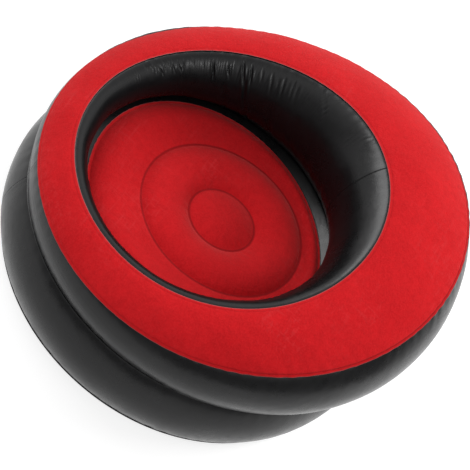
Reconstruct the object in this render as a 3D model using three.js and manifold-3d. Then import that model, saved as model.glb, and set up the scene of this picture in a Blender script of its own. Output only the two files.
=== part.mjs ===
// Round inflatable armchair in millimetres, +Z up, the back towards +Y, the front towards -Y.
// A low base ring and a taller upper ring stand one on the other. Both are air chambers made of
// welded film panels, drawn here as thin shells in their inflated shape. The origin lies on the
// floor, at the centre of the base.

import * as THREE from 'three';
import { mergeVertices } from 'three/addons/utils/BufferGeometryUtils.js';
import Module from 'manifold-3d';

const wasm = await Module();
wasm.setup();

// Film and welds
const filmThickness = 0.4;
const flockedThickness = 0.9;
const weldWidth = 8;
const weldGap = 0.3;

// Base ring: one round seam at the foot and one under the upper ring
const baseSeamRadius = 517;
const baseSeamHeight = 195;
const baseWallBulge = 26;
const footSeamLift = 8;
const footSeamInset = 48;

// Outer seam of the upper ring, round the edge of the top panel
const rimHalfWidth = 530;
const rimFrontReach = 526;
const rimBackReach = 540;
const rimFrontHeight = 286;
const rimSideHeight = 394;
const rimBackHeight = 558;

// Top panel: its width in plan, how far its inner seam stands above the outer one, its crown
const bandFrontWidth = 68;
const bandSideWidth = 143;
const bandBackWidth = 250;
const bandFrontStep = 67;
const bandSideStep = 42;
const bandBackStep = 13;
const bandCrownShare = 0.1;

// Walls of the upper ring: how far the air pushes them out of the straight
const outerWallFrontBulge = 6;
const outerWallSideBulge = 38;
const outerWallBackBulge = 74;
const innerWallFrontBulge = 45;
const innerWallSideBulge = 66;
const innerWallBackBulge = 87;

// Foot of the inner wall, measured in from the base seam
const wellFrontLand = 67;
const wellSideLand = 117;
const wellBackLand = 167;
const wellSeamHeight = 232;

// Seat: the film margin round the flocked panel, and the panel's two weld rings
const marginFrontWidth = 65;
const marginSideWidth = 36;
const marginBackWidth = 70;
const seatEdgeHeight = 246;
const seatRingRadius = 231;
const seatRingHeight = 245;
const seatRingSetback = 7;
const seatButtonRadius = 94;
const seatButtonHeight = 238;
const seatWeldWidth = 8;
const seatEdgeCrownShare = 0.11;
const seatRingCrownShare = 0.12;
const seatButtonCrown = 12;
const seatDomeShare = 0.5;

// Bands under the weld rings, and the shallow grooves that they draw into the bottom sheet
const bandGrooveLift = 5;
const bandGrooveSlope = 12;
const bandVentRadius = 14;
const ringBandVents = 8;
const buttonBandVents = 4;

// Inflation valves, one in the back of each wall, in their own frames: +Z out of the wall,
// +Y up it, z = 0 on the film
const valveTurnShare = 0.302;
const valveRiseShare = 0.7;
const valveLipHeight = 7;
const valveBoreRadius = 17;
const valveNeckWall = 3;
const valveFlangeRadius = 30;
const valveFlangeThickness = 2;
const valveNeckDepth = 3;
const plugFit = 0.3;
const stopperDiscRadius = 21;
const stopperDiscThickness = 2;
const stopperPlugDepth = 8;
const stopperTaper = 1;
const stopperPlugWall = 1.5;
const stopperHingeReach = 24;
const hingeTongueHalfWidth = 5;
const hingeShelfThickness = 2.5;
const hingeShelfOverhang = 3;
const blowHoleRadius = 7.5;
const blowTubeWall = 1.7;
const blowTubeDepth = 9;
const capDiscRadius = 11;
const capDiscThickness = 2;
const capPlugDepth = 5;
const capTaper = 0.8;
const capHingeReach = 14;
const capTongueHalfWidth = 3;
const flapOverlap = 1.1;
const flapThickness = 0.6;
const flapHingeOffset = 1;
const flapTongueHalfWidth = 2.5;
const cutOverrun = 20;

// Meshing
const turnSteps = 40;
const bandTurnSteps = 20;
const roundSteps = 24;
const topArcSteps = 4;
const outerWallArcSteps = 6;
const innerWallArcSteps = 6;
const baseWallArcSteps = 5;
const seatEdgeArcSteps = 3;
const seatRingArcSteps = 3;
const leastBendShare = 0.01;

// Materials
const film = { color: 0x161617, roughness: 0.42, metalness: 0 };
const flock = { color: 0xb3161c, roughness: 0.95, metalness: 0 };
const moulding = { color: 0x1d1d1f, roughness: 0.5, metalness: 0 };
const softMoulding = { color: 0x242426, roughness: 0.6, metalness: 0 };

// A value that runs smoothly round the chair through its front, side and back values
function around(front, side, back, angle) {
  const lean = Math.sin(angle);
  return side + (back - front) / 2 * lean + ((back + front) / 2 - side) * lean * lean;
}

// A closed seam, drawn as an oval in plan, given by its reach and its height on each side
function seam({ halfWidth, frontReach, backReach, front, side, back }) {
  const halfDepth = (frontReach + backReach) / 2;
  const centreY = (backReach - frontReach) / 2;
  return (angle) => new THREE.Vector3(
    halfWidth * Math.cos(angle),
    centreY + halfDepth * Math.sin(angle),
    around(front, side, back, angle),
  );
}

function levelSeam(halfWidth, frontReach, backReach, height) {
  return seam({ halfWidth, frontReach, backReach, front: height, side: height, back: height });
}

function ring(radius, setback, height) {
  return levelSeam(radius, radius + setback, radius - setback, height);
}

const baseSeam = ring(baseSeamRadius, 0, baseSeamHeight);
const footSeam = ring(baseSeamRadius, 0, footSeamLift);
const rimSeam = seam({
  halfWidth: rimHalfWidth,
  frontReach: rimFrontReach,
  backReach: rimBackReach,
  front: rimFrontHeight,
  side: rimSideHeight,
  back: rimBackHeight,
});
const holeSeam = seam({
  halfWidth: rimHalfWidth - bandSideWidth,
  frontReach: rimFrontReach - bandFrontWidth,
  backReach: rimBackReach - bandBackWidth,
  front: rimFrontHeight + bandFrontStep,
  side: rimSideHeight + bandSideStep,
  back: rimBackHeight + bandBackStep,
});
const wellHalfWidth = baseSeamRadius - wellSideLand;
const wellFrontReach = baseSeamRadius - wellFrontLand;
const wellBackReach = baseSeamRadius - wellBackLand;
const wellSeam = levelSeam(wellHalfWidth, wellFrontReach, wellBackReach, wellSeamHeight);
const seatSeam = levelSeam(
  wellHalfWidth - marginSideWidth,
  wellFrontReach - marginFrontWidth,
  wellBackReach - marginBackWidth,
  seatEdgeHeight,
);

// Surfaces are grids: rows of points, each row once round the chair. Rows are listed so that
// the chamber's air lies behind the surface: foot, side, top, inner side, seat.
function row(pointAt, steps = turnSteps) {
  return Array.from({ length: steps }, (_, step) => pointAt(2 * Math.PI * step / steps));
}

// The direction out of the chamber, square to a strip that runs from one seam to another
function outward(from, to, angle) {
  const nudge = Math.PI / turnSteps;
  const along = from(angle + nudge).sub(from(angle - nudge));
  along.add(to(angle + nudge).sub(to(angle - nudge)));
  return along.cross(to(angle).sub(from(angle))).normalize();
}

// A point on the film arc between two seams, share 0 at the first seam and 1 at the second
function arcPoint(from, to, bulge, share, angle) {
  const start = from(angle);
  const chord = to(angle).sub(start);
  const half = chord.length() / 2;
  const bend = 2 * Math.atan(Math.max(bulge(angle, chord.length()) / half, leastBendShare));
  const turned = bend * (2 * share - 1);
  const reach = (1 + Math.sin(turned) / Math.sin(bend)) / 2;
  const lift = half * (Math.cos(turned) - Math.cos(bend)) / Math.sin(bend);
  return start.addScaledVector(chord, reach).addScaledVector(outward(from, to, angle), lift);
}

function arcRows(from, to, bulge, steps) {
  return Array.from({ length: steps + 1 }, (_, index) =>
    row((angle) => arcPoint(from, to, bulge, index / steps, angle)));
}

// A row at a weld's width from the seam at that share, 0 or 1, along the arc
function weldRow(from, to, bulge, share) {
  return row((angle) => {
    const inset = weldWidth / to(angle).distanceTo(from(angle));
    return arcPoint(from, to, bulge, share === 0 ? inset : 1 - inset, angle);
  });
}

function stripRow(from, to, width) {
  return row((angle) => from(angle).add(to(angle).sub(from(angle)).setLength(width)));
}

// Unit normals of a grid, out of the chamber. A patch is a grid that doesn't close on itself.
function normals(rows, isPatch = false) {
  return rows.map((points, index) => points.map((_, step) => {
    const last = points.length - 1;
    const ahead = isPatch ? Math.min(step + 1, last) : (step + 1) % points.length;
    const behind = isPatch ? Math.max(step - 1, 0) : (step + last) % points.length;
    const next = rows[Math.min(index + 1, rows.length - 1)];
    const before = rows[Math.max(index - 1, 0)];
    const along = points[ahead].clone().sub(points[behind]);
    if (along.length() === 0) along.copy(before[ahead]).sub(before[behind]);
    const across = next[step].clone().sub(before[step]);
    return along.cross(across).normalize();
  }));
}

function offset(rows, distance, facing = normals(rows)) {
  return rows.map((points, index) =>
    points.map((point, step) => point.clone().addScaledVector(facing[index][step], distance)));
}

// A closed geometry from faces given as lists of corner points
function closedGeometry(faces) {
  const triangles = [];
  for (const corners of faces) {
    for (let index = 1; index + 1 < corners.length; index += 1) {
      const [a, b, c] = [corners[0], corners[index], corners[index + 1]];
      if (a.equals(b) || b.equals(c) || c.equals(a)) continue;
      triangles.push(...a.toArray(), ...b.toArray(), ...c.toArray());
    }
  }
  const geometry = new THREE.BufferGeometry();
  geometry.setAttribute('position', new THREE.Float32BufferAttribute(triangles, 3));
  return mergeVertices(geometry);
}

// A shell between an outer grid and an inner one. It closes on itself, unless it is a patch.
function shell(outer, inner, isPatch = false) {
  const faces = [];
  const steps = outer[0].length;
  const last = outer.length - 1;
  const spans = isPatch ? steps - 1 : steps;
  for (let step = 0; step < spans; step += 1) {
    const next = (step + 1) % steps;
    for (let index = 0; index < last; index += 1) {
      const [o, p] = [outer[index], outer[index + 1]];
      const [i, j] = [inner[index], inner[index + 1]];
      faces.push([o[step], o[next], p[next], p[step]]);
      faces.push([i[step], j[step], j[next], i[next]]);
    }
    faces.push([outer[0][next], outer[0][step], inner[0][step], inner[0][next]]);
    faces.push([outer[last][step], outer[last][next], inner[last][next], inner[last][step]]);
  }
  if (isPatch) {
    const end = steps - 1;
    for (let index = 0; index < last; index += 1) {
      const [o, p] = [outer[index], outer[index + 1]];
      const [i, j] = [inner[index], inner[index + 1]];
      faces.push([o[0], p[0], j[0], i[0]]);
      faces.push([o[end], i[end], j[end], p[end]]);
    }
  }
  return closedGeometry(faces);
}

function filmShell(rows, thickness) {
  return shell(rows, offset(rows, -thickness));
}

function solid(geometry) {
  const bare = geometry.clone();
  bare.deleteAttribute('normal');
  bare.deleteAttribute('uv');
  const merged = mergeVertices(bare);
  return new wasm.Manifold(new wasm.Mesh({
    numProp: 3,
    vertProperties: merged.attributes.position.array,
    triVerts: new Uint32Array(merged.index.array),
  }));
}

function geometryOf(body) {
  const { vertProperties, triVerts } = body.getMesh();
  const geometry = new THREE.BufferGeometry();
  geometry.setAttribute('position', new THREE.BufferAttribute(vertProperties, 3));
  geometry.setIndex(new THREE.BufferAttribute(triVerts, 1));
  return geometry;
}

function pieceOf(name, geometry, look) {
  const mesh = new THREE.Mesh(geometry, new THREE.MeshStandardMaterial(look));
  mesh.name = name;
  return mesh;
}

// Round shapes about +Z, from a profile of [radius, height] pairs
function turned(profile, steps = roundSteps) {
  const points = profile.map(([radius, height]) => new THREE.Vector2(radius, height));
  return new THREE.LatheGeometry(points, steps).rotateX(Math.PI / 2);
}

function cylinder(radius, low, high) {
  const geometry = new THREE.CylinderGeometry(radius, radius, high - low, roundSteps);
  return geometry.rotateX(Math.PI / 2).translate(0, 0, (low + high) / 2);
}

// A block between two corners
function block(low, high) {
  const size = high.clone().sub(low);
  const centre = low.clone().add(high).divideScalar(2);
  return new THREE.BoxGeometry(size.x, size.y, size.z).translate(centre.x, centre.y, centre.z);
}

// Top panel of the upper ring: the flocked film that the sitter's arms and head rest on
const bandCrown = (angle, chord) => chord * bandCrownShare;
const topArc = arcRows(rimSeam, holeSeam, bandCrown, topArcSteps);
const topRows = [
  topArc[0],
  weldRow(rimSeam, holeSeam, bandCrown, 0),
  ...topArc.slice(1, -1),
  weldRow(rimSeam, holeSeam, bandCrown, 1),
  topArc.at(-1),
];
const topUnderside = offset(topRows, -(flockedThickness + weldGap));

// Deck: the film between the two chambers. Outside it carries both walls, inside it becomes
// the film margin of the seat and ends under the flocked panel.
const seatLap = stripRow(seatSeam, ring(seatRingRadius, seatRingSetback, seatEdgeHeight), weldWidth);
const seatEdgeUnderside = offset(
  [row(seatSeam), seatLap],
  -(flockedThickness + weldGap),
);
const deckRows = [
  row(baseSeam),
  stripRow(baseSeam, wellSeam, weldWidth),
  stripRow(wellSeam, baseSeam, weldWidth),
  row(wellSeam),
  ...seatEdgeUnderside,
];
const deckNormals = normals(deckRows);
const deckTop = offset(deckRows, weldGap, deckNormals);
const deckUnderside = offset(deckRows, -(filmThickness + weldGap), deckNormals);
const [deckEdgeTop, deckLapTop, wellLapTop, wellFootTop] = deckTop;
const [deckEdgeUnderside, deckLapUnderside] = deckUnderside;

// A seam that follows a finished row
function seamOf(points) {
  const curve = new THREE.CatmullRomCurve3(points, true);
  return (angle) => curve.getPoint((angle / (2 * Math.PI) + 1) % 1);
}

const outerWallBulge = (angle) =>
  around(outerWallFrontBulge, outerWallSideBulge, outerWallBackBulge, angle);
const outerWallRows = [
  deckLapTop,
  ...arcRows(seamOf(deckEdgeTop), seamOf(topUnderside[0]), outerWallBulge, outerWallArcSteps),
  topUnderside[1],
];

const innerWallBulge = (angle) =>
  around(innerWallFrontBulge, innerWallSideBulge, innerWallBackBulge, angle);
const innerWallRows = [
  topUnderside.at(-2),
  ...arcRows(seamOf(topUnderside.at(-1)), seamOf(wellFootTop), innerWallBulge, innerWallArcSteps),
  wellLapTop,
];

// Seat panel: a flocked disc, drawn down along two weld rings
const weldHalf = seatWeldWidth / 2;
const ringWeldOuter = ring(seatRingRadius + weldHalf, seatRingSetback, seatRingHeight);
const ringWeldInner = ring(seatRingRadius - weldHalf, seatRingSetback, seatRingHeight);
const buttonWeldOuter = ring(seatButtonRadius + weldHalf, seatRingSetback, seatButtonHeight);
const buttonWeldInner = ring(seatButtonRadius - weldHalf, seatRingSetback, seatButtonHeight);
const seatCentre = () => new THREE.Vector3(0, -seatRingSetback, seatButtonHeight + seatButtonCrown);
const seatDome = ring(
  seatButtonRadius * seatDomeShare,
  seatRingSetback,
  seatButtonHeight + seatButtonCrown * (1 - seatDomeShare ** 2),
);
const seatRows = [
  row(seatSeam),
  seatLap,
  ...arcRows(seamOf(seatLap), ringWeldOuter, (angle, chord) => chord * seatEdgeCrownShare, seatEdgeArcSteps)
    .slice(1),
  ...arcRows(ringWeldInner, buttonWeldOuter, (angle, chord) => chord * seatRingCrownShare, seatRingArcSteps),
  row(buttonWeldInner),
  row(seatDome),
  row(seatCentre),
];

// Bottom sheet: flat on the floor, lifted at the foot seam and over the two bands
function grooveRows(radius) {
  const lifted = (reach) => row(ring(reach, seatRingSetback, bandGrooveLift));
  const flat = (reach) => row(ring(reach, seatRingSetback, 0));
  return [
    flat(radius - weldHalf - bandGrooveSlope),
    lifted(radius - weldHalf),
    lifted(radius + weldHalf),
    flat(radius + weldHalf + bandGrooveSlope),
  ];
}

const footFlat = ring(baseSeamRadius - footSeamInset, 0, 0);
const bottomRows = [
  row(() => new THREE.Vector3()),
  ...grooveRows(seatButtonRadius),
  ...grooveRows(seatRingRadius),
  row(footFlat),
  stripRow(footSeam, footFlat, weldWidth),
  row(footSeam),
];
const bottomInside = offset(bottomRows, -(filmThickness + weldGap));

const baseWallRows = [
  bottomInside.at(-2),
  ...arcRows(
    seamOf(bottomInside.at(-1)),
    seamOf(deckEdgeUnderside),
    () => baseWallBulge,
    baseWallArcSteps,
  ),
  deckLapUnderside,
];

// Bands inside the base: a strip of film under each weld ring ties the seat to the bottom
// sheet. Each is a channel with its welded edges turned in, and has vents for the air.
function bandGeometry(radius, topHeight, ventCount) {
  const low = bandGrooveLift + filmThickness + weldGap;
  const high = topHeight - flockedThickness - weldGap;
  const edge = weldHalf - weldGap;
  const level = (reach, height) => row(ring(reach, seatRingSetback, height), bandTurnSteps);
  const rows = [
    level(radius - edge, low),
    level(radius + edge, low),
    level(radius + edge, high),
    level(radius - edge, high),
  ];
  const inner = [
    level(radius - edge, low + filmThickness),
    level(radius + edge - filmThickness, low + filmThickness),
    level(radius + edge - filmThickness, high - filmThickness),
    level(radius - edge, high - filmThickness),
  ];
  let band = solid(shell(rows, inner));
  for (let index = 0; index < ventCount; index += 1) {
    const vent = cylinder(bandVentRadius, radius - cutOverrun, radius + cutOverrun);
    vent.rotateY(Math.PI / 2);
    vent.rotateZ(2 * Math.PI * (index + 1 / 2) / ventCount);
    vent.translate(0, -seatRingSetback, (low + high) / 2);
    band = band.subtract(solid(vent));
  }
  return geometryOf(band);
}

// Frame of a valve on one cell of a wall's grid, and the cells round it
function valveSite(rows) {
  const step = Math.floor(turnSteps * valveTurnShare);
  const cell = Math.floor((rows.length - 1) * valveRiseShare);
  const corners = [rows[cell][step], rows[cell][step + 1], rows[cell + 1][step + 1], rows[cell + 1][step]];
  const centre = new THREE.Vector3();
  for (const corner of corners) centre.addScaledVector(corner, 1 / corners.length);
  const out = corners[2].clone().sub(corners[0]).cross(corners[3].clone().sub(corners[1])).normalize();
  const up = new THREE.Vector3(0, 0, 1);
  up.addScaledVector(out, -up.dot(out)).normalize();
  const side = up.clone().cross(out);
  const frame = new THREE.Matrix4().makeBasis(side, up, out).setPosition(centre);
  const nearby = (grid) => grid.slice(cell - 1, cell + 3).map((points) => points.slice(step - 1, step + 3));
  return { frame, patch: nearby(rows), facing: nearby(normals(rows)) };
}

const neckRadius = valveBoreRadius + valveNeckWall;
const lip = valveLipHeight;
const shelfReach = stopperHingeReach + hingeShelfOverhang;
const stopperLow = lip + plugFit;
const stopperTop = stopperLow + stopperDiscThickness;
const blowTubeRadius = blowHoleRadius + blowTubeWall;
const blowTubeLow = lip - blowTubeDepth;
const capLow = stopperTop + plugFit;
const capTop = capLow + capDiscThickness;
const flapRadius = blowHoleRadius + flapOverlap;
const flapTop = blowTubeLow - plugFit;

// The wall with the hole that the valve's neck stands in
function wallWithHole(rows, site) {
  const hole = cylinder(neckRadius + weldGap, -cutOverrun, cutOverrun).applyMatrix4(site.frame);
  return geometryOf(solid(filmShell(rows, filmThickness)).subtract(solid(hole)));
}

// Valve base: a flange welded behind the film, a neck through it and a shelf for the hinge
function valveBaseGeometry(site) {
  const behind = filmThickness + weldGap;
  const flangeFront = offset(site.patch, -behind, site.facing);
  const flangeBack = offset(site.patch, -(behind + valveFlangeThickness), site.facing);
  const slab = shell(flangeFront, flangeBack, true).applyMatrix4(site.frame.clone().invert());
  const flange = solid(slab).intersect(solid(cylinder(valveFlangeRadius, -cutOverrun, cutOverrun)));
  const shelf = block(
    new THREE.Vector3(-hingeTongueHalfWidth, valveBoreRadius, lip - hingeShelfThickness),
    new THREE.Vector3(hingeTongueHalfWidth, shelfReach, lip),
  );
  const body = flange.add(solid(cylinder(neckRadius, -valveNeckDepth, lip))).add(solid(shelf));
  return geometryOf(body.subtract(solid(cylinder(valveBoreRadius, -cutOverrun, cutOverrun))));
}

// Stopper: the wide plug for letting the air out, with the blow tube through its middle
function stopperGeometry() {
  const plugRadius = valveBoreRadius - plugFit;
  const plugLow = stopperLow - stopperPlugDepth;
  const underside = stopperLow - stopperPlugWall;
  const wallShare = stopperPlugWall / stopperPlugDepth;
  const round = turned([
    [blowHoleRadius, blowTubeLow],
    [blowTubeRadius, blowTubeLow],
    [blowTubeRadius, underside],
    [plugRadius - stopperPlugWall - stopperTaper * wallShare, underside],
    [plugRadius - stopperPlugWall - stopperTaper, plugLow],
    [plugRadius - stopperTaper, plugLow],
    [plugRadius, stopperLow],
    [stopperDiscRadius, stopperLow],
    [stopperDiscRadius, stopperTop],
    [blowHoleRadius, stopperTop],
    [blowHoleRadius, blowTubeLow],
  ]);
  const tongue = block(
    new THREE.Vector3(-hingeTongueHalfWidth, valveBoreRadius, stopperLow),
    new THREE.Vector3(hingeTongueHalfWidth, stopperHingeReach, stopperTop),
  );
  return geometryOf(solid(round).add(solid(tongue)));
}

// Cap: the small plug in the blow tube, hinged at one side of the stopper
function capGeometry() {
  const plugRadius = blowHoleRadius - plugFit;
  const round = turned([
    [0, capLow - capPlugDepth],
    [plugRadius - capTaper, capLow - capPlugDepth],
    [plugRadius, capLow],
    [capDiscRadius, capLow],
    [capDiscRadius, capTop],
    [0, capTop],
  ]);
  const tongue = block(
    new THREE.Vector3(plugRadius, -capTongueHalfWidth, capLow),
    new THREE.Vector3(capHingeReach, capTongueHalfWidth, capTop),
  );
  return geometryOf(solid(round).add(solid(tongue)));
}

// Flap: the one-way film disc at the inner end of the blow tube
function flapGeometry() {
  const disc = cylinder(flapRadius, flapTop - flapThickness, flapTop);
  const tongue = block(
    new THREE.Vector3(-flapTongueHalfWidth, 0, flapTop - flapThickness),
    new THREE.Vector3(flapTongueHalfWidth, flapRadius + flapHingeOffset, flapTop),
  );
  return geometryOf(solid(disc).add(solid(tongue)));
}

function valve(prefix, site) {
  const group = new THREE.Group();
  group.applyMatrix4(site.frame);
  group.add(
    pieceOf(`${prefix}_valve_base`, valveBaseGeometry(site), moulding),
    pieceOf(`${prefix}_valve_stopper`, stopperGeometry(), softMoulding),
    pieceOf(`${prefix}_valve_flap`, flapGeometry(), softMoulding),
    pieceOf(`${prefix}_valve_cap`, capGeometry(), softMoulding),
  );
  return group;
}

const ringSite = valveSite(outerWallRows);
const baseSite = valveSite(baseWallRows);

const chair = new THREE.Group();
chair.name = 'inflatable_chair';
chair.add(
  pieceOf('ring_top_panel', filmShell(topRows, flockedThickness), flock),
  pieceOf('ring_outer_wall', wallWithHole(outerWallRows, ringSite), film),
  pieceOf('ring_inner_wall', filmShell(innerWallRows, filmThickness), film),
  pieceOf('deck_sheet', filmShell(deckRows, filmThickness), film),
  pieceOf('seat_panel', filmShell(seatRows, flockedThickness), flock),
  pieceOf('base_side_wall', wallWithHole(baseWallRows, baseSite), film),
  pieceOf('base_bottom_sheet', filmShell(bottomRows, filmThickness), film),
  pieceOf('seat_ring_baffle', bandGeometry(seatRingRadius, seatRingHeight, ringBandVents), film),
  pieceOf(
    'seat_button_baffle',
    bandGeometry(seatButtonRadius, seatButtonHeight, buttonBandVents),
    film,
  ),
  valve('ring', ringSite),
  valve('base', baseSite),
);

export default chair;
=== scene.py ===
"""Looks for a round inflatable armchair: welded film panels with their seams, creases and
finishes, and its moulded air valves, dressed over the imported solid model. Sizes are in
millimetres, angles run round the chair from +X towards the back at +Y."""

import math
from collections import namedtuple

import bmesh
import bpy
import numpy as np
from mathutils import Matrix, Vector


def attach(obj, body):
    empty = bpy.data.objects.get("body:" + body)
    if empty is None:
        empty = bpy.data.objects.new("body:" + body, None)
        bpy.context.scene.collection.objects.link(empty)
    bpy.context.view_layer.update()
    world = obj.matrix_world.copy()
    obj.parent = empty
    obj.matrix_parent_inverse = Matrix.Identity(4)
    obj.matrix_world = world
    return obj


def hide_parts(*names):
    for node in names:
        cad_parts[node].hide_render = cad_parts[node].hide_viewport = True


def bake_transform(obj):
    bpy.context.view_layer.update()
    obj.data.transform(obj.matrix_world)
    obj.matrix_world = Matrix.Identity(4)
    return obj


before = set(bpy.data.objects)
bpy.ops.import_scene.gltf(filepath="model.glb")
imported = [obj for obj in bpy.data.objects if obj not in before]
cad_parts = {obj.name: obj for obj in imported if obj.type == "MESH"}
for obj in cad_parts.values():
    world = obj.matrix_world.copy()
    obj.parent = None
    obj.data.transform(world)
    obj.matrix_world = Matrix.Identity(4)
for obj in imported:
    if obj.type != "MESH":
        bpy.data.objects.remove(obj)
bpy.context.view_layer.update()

MILLIMETRE = 0.001
FULL_TURN = 2 * math.pi

# Film and welds
FILM = 0.4
FLOCKED_FILM = 0.9
WELD_WIDTH = 8.0
WELD_GAP = 0.3
WELD_ROWS = np.array([0, WELD_WIDTH / 2, WELD_WIDTH])
UNDER_FLOCK = FLOCKED_FILM + WELD_GAP
LEAST_BEND_SHARE = 0.01

# Seams, each with its half width, its reach to the front and to the back, and its heights at
# the front, at the sides and at the back
Seam = namedtuple("Seam", ("half_width", "front", "back", "heights"))
RIM_SEAM = Seam(530, 526, 540, (286, 394, 558))
HOLE_SEAM = Seam(387, 458, 290, (353, 436, 571))
BASE_SEAM = Seam(517, 517, 517, (195, 195, 195))
FOOT_SEAM = Seam(517, 517, 517, (8, 8, 8))
WELL_SEAM = Seam(400, 450, 350, (232, 232, 232))
SEAT_SEAM = Seam(364, 385, 280, (246, 246, 246))

# How far the air pushes each panel out, at the front, at the sides and at the back
OUTER_WALL_BULGE = (6, 38, 74)
INNER_WALL_BULGE = (45, 66, 87)
BASE_WALL_BULGE = 26
TOP_CROWN_SHARE = 0.1
SEAT_EDGE_CROWN_SHARE = 0.08
SEAT_EDGE_SKEW = 3.2
SEAT_RING_CROWN_SHARE = 0.165

# Inner wall: the film's roll by the hole, and the setback of its low part, each at the front,
# at the sides and at the back
HOLE_ROLL = (8, 9, 4)
HOLE_ROLL_START = 9
HOLE_ROLL_LENGTH = 45
LOW_SETBACK = (16, 16, 8)
LOW_PLACE_SHARE = 0.8
LOW_WIDTH_SHARE = 0.16
LOW_PART_START_SHARE = 0.4
LOW_PART_STEPS = 60

# Margin round the seat: its slope in degrees at the front, at the sides and at the back, its
# room under the inner wall, and how softly it gives way there
MARGIN_SLOPE = (12, 13, 37)
MARGIN_ROOM = 0.9
MARGIN_GIVE = 1.2
MARGIN_SOFTNESS = 3.0
DECK_SHARES = (0, 0.33, 0.66)

# Weld rings of the seat
SEAT_SETBACK = 7
SEAT_RING_RADIUS = 231
SEAT_RING_HEIGHT = 245
SEAT_BUTTON_RADIUS = 94
SEAT_BUTTON_HEIGHT = 238
SEAT_BUTTON_CROWN = 19
SEAT_BUTTON_ROUNDNESS = 2.4

# Bottom sheet, with the grooves that the inner bands draw into it
FOOT_FLAT_INSET = 48
FOOT_CURVE = 1.5
FOOT_SHARES = (0, 0.25, 0.5, 0.75, 1)
GROOVE_LIFT = 5
GROOVE_SLOPE = 12
BOTTOM_CENTRE_RADIUS = 45
BOTTOM_BETWEEN_RADIUS = 160
BOTTOM_OUTER_RADII = (310, 390)

# Cut edges that stand out past the seams, and where the black film does so at the rim: the
# turns and the half widths in degrees
SEAM_EDGE = 2.5
RIM_FIN = 6
FIN_LENGTH = 4
FIN_TURNS = ((200, 24), (108, 45))
FIN_ELSEWHERE_SHARE = 0.15
FIN_WAVES = (0.12, 20, 70, 25)

# Mesh density: steps round the chair, rows between seams, and row distances by the seams
TOP_STEPS = 960
WALL_STEPS = 960
INNER_WALL_STEPS = 840
SEAT_STEPS = 640
BASE_STEPS = 720
HIDDEN_STEPS = 320
ROUND_STEPS = 64
TOP_ROWS = 20
OUTER_WALL_ROWS = 22
INNER_WALL_ROWS = 40
BASE_WALL_ROWS = 12
MARGIN_ROWS = 26
SEAT_EDGE_ROWS = 6
SEAT_RING_ROWS = 7
SEAT_BUTTON_ROWS = 12
TOP_NEAR = (0, 0.9, 1.8, 3.6, 5.4, 6.8, 8.0, 9.2, 11, 14, 18, 24)
WALL_NEAR = (0, 1.5, 3.5, 6, 9.5, 14, 20)
SEAT_NEAR = (0, 1.5, 3.5, 6.5, 11, 17)
SEAT_LAP_SHARES = np.array([[0], [0.12], [0.3], [0.6], [0.85]])
WELD_SHARES = np.array([[0.35], [0.65]])
MERGE_DISTANCE = 0.01
FILM_SHARP_ANGLE = 100

# Laps where the ends of a wall's film meet, in degrees round the chair, with how softly they
# start and end, the depth, place and half width of their line, and the mesh's steps over them
INNER_WALL_LAP = 90.0
OUTER_WALL_LAP = -94.5
BASE_WALL_LAP = -96.3
LAP_WIDTH = 9.0
LAP_HEIGHT = 0.3
LAP_STEEPNESS = (0.4, 1.2)
LAP_LINE = (0.8, -0.7, 0.9)
LAP_STEPS = np.array(
    [-4.0, -2.9, -2.0, -1.3, -0.7, -0.2, 0.3, 0.9, 1.6, 2.6, 7.7, 8.6, 9.5, 10.6]
)
SAFE_EXPONENT = 40

# Film by a weld: how deep it is pinched, and how far in from the weld that reaches
PINCH = 0.8
RIM_PINCH = 1.6
HOLE_PINCH = 0.5
PINCH_LENGTH = 5
HOLE_PINCH_LENGTH = 4

# Pressed lines where the flocked panels' welds end: the depth, and the film's height beyond
RIM_GROOVE = (1.0, 1.0)
HOLE_GROOVE = (0.35, 0.7)
GROOVE_LINE_WIDTH = 1.5
GROOVE_BEYOND_LENGTH = 7
SEAT_RISE = 1.2
SEAT_RISE_LENGTH = 9
SEAT_PILLOW_WIDTH = 7.0

# Gathers by a weld: how far they run into the panel, their depth, the least and the most
# waves round the chair, and the seed
RIM_GATHERS = (16, 0.9, 80, 128, 22)
HOLE_GATHERS = (12, 0.4, 50, 110, 31)
OUTER_RIM_GATHERS = (20, 0.5, 70, 128, 22)
OUTER_FOOT_GATHERS = (24, 0.7, 60, 120, 41)
INNER_HOLE_GATHERS = (16, 0.5, 50, 110, 31)
INNER_FOOT_GATHERS = (30, 1.0, 50, 110, 51)
SEAT_RING_GATHERS = (18, 0.8, 36, 80, 81)
SEAT_BUTTON_GATHERS = (20, 1.0, 14, 34, 82)
SEAT_EDGE_GATHERS = (12, 0.6, 60, 120, 83)
BASE_FOOT_GATHERS = (26, 0.9, 60, 110, 91)
BASE_TOP_GATHERS = (20, 0.6, 60, 110, 92)
GATHER_START = 3
UNCREASED_GATHER_SHARE = 0.04

# Uneven ground of a panel: its height, the least and the most waves round the chair, the
# length of a drift across the panel, and the seed
TOP_GROUND = (0.9, 6, 26, 130, 24)
OUTER_WALL_GROUND = (0.5, 4, 14, 150, 42)
OUTER_WALL_RIBS = (0.12, 2, 12, 9, 43)
INNER_WALL_GROUND = (0.8, 5, 18, 140, 52)
SEAT_GROUND = (0.8, 2, 9, 90, 84)
BASE_WALL_GROUND = (0.5, 4, 14, 120, 93)
GROUND_START = 30
TOP_GROUND_START = 40

# Ripples of a welded edge: the heights, then the reach outward, each with its size, the least
# and the most waves round the chair, and the seed
RIM_RIPPLE = ((0.9, 80, 128, 22), (0.9, 80, 128, 23))
RIM_RIPPLE_LENGTH = 15
RIM_FRONT_SHARE = 0.35
RIM_BACK_LEAN = 0.7
RIM_PATCHES = (0.35, 3, 14, 21)
RIM_PATCH_LEVEL = 0.75
HOLE_RIPPLE = ((0.35, 50, 110, 31), (0.4, 50, 110, 32))
HOLE_RIPPLE_LENGTH = 12
UNCREASED_RIPPLE_SHARE = 0.12
SEAT_RIPPLE = ((0.0, 60, 120, 85), (0.5, 60, 120, 85))
SEAT_RIPPLE_LENGTH = 10

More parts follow.
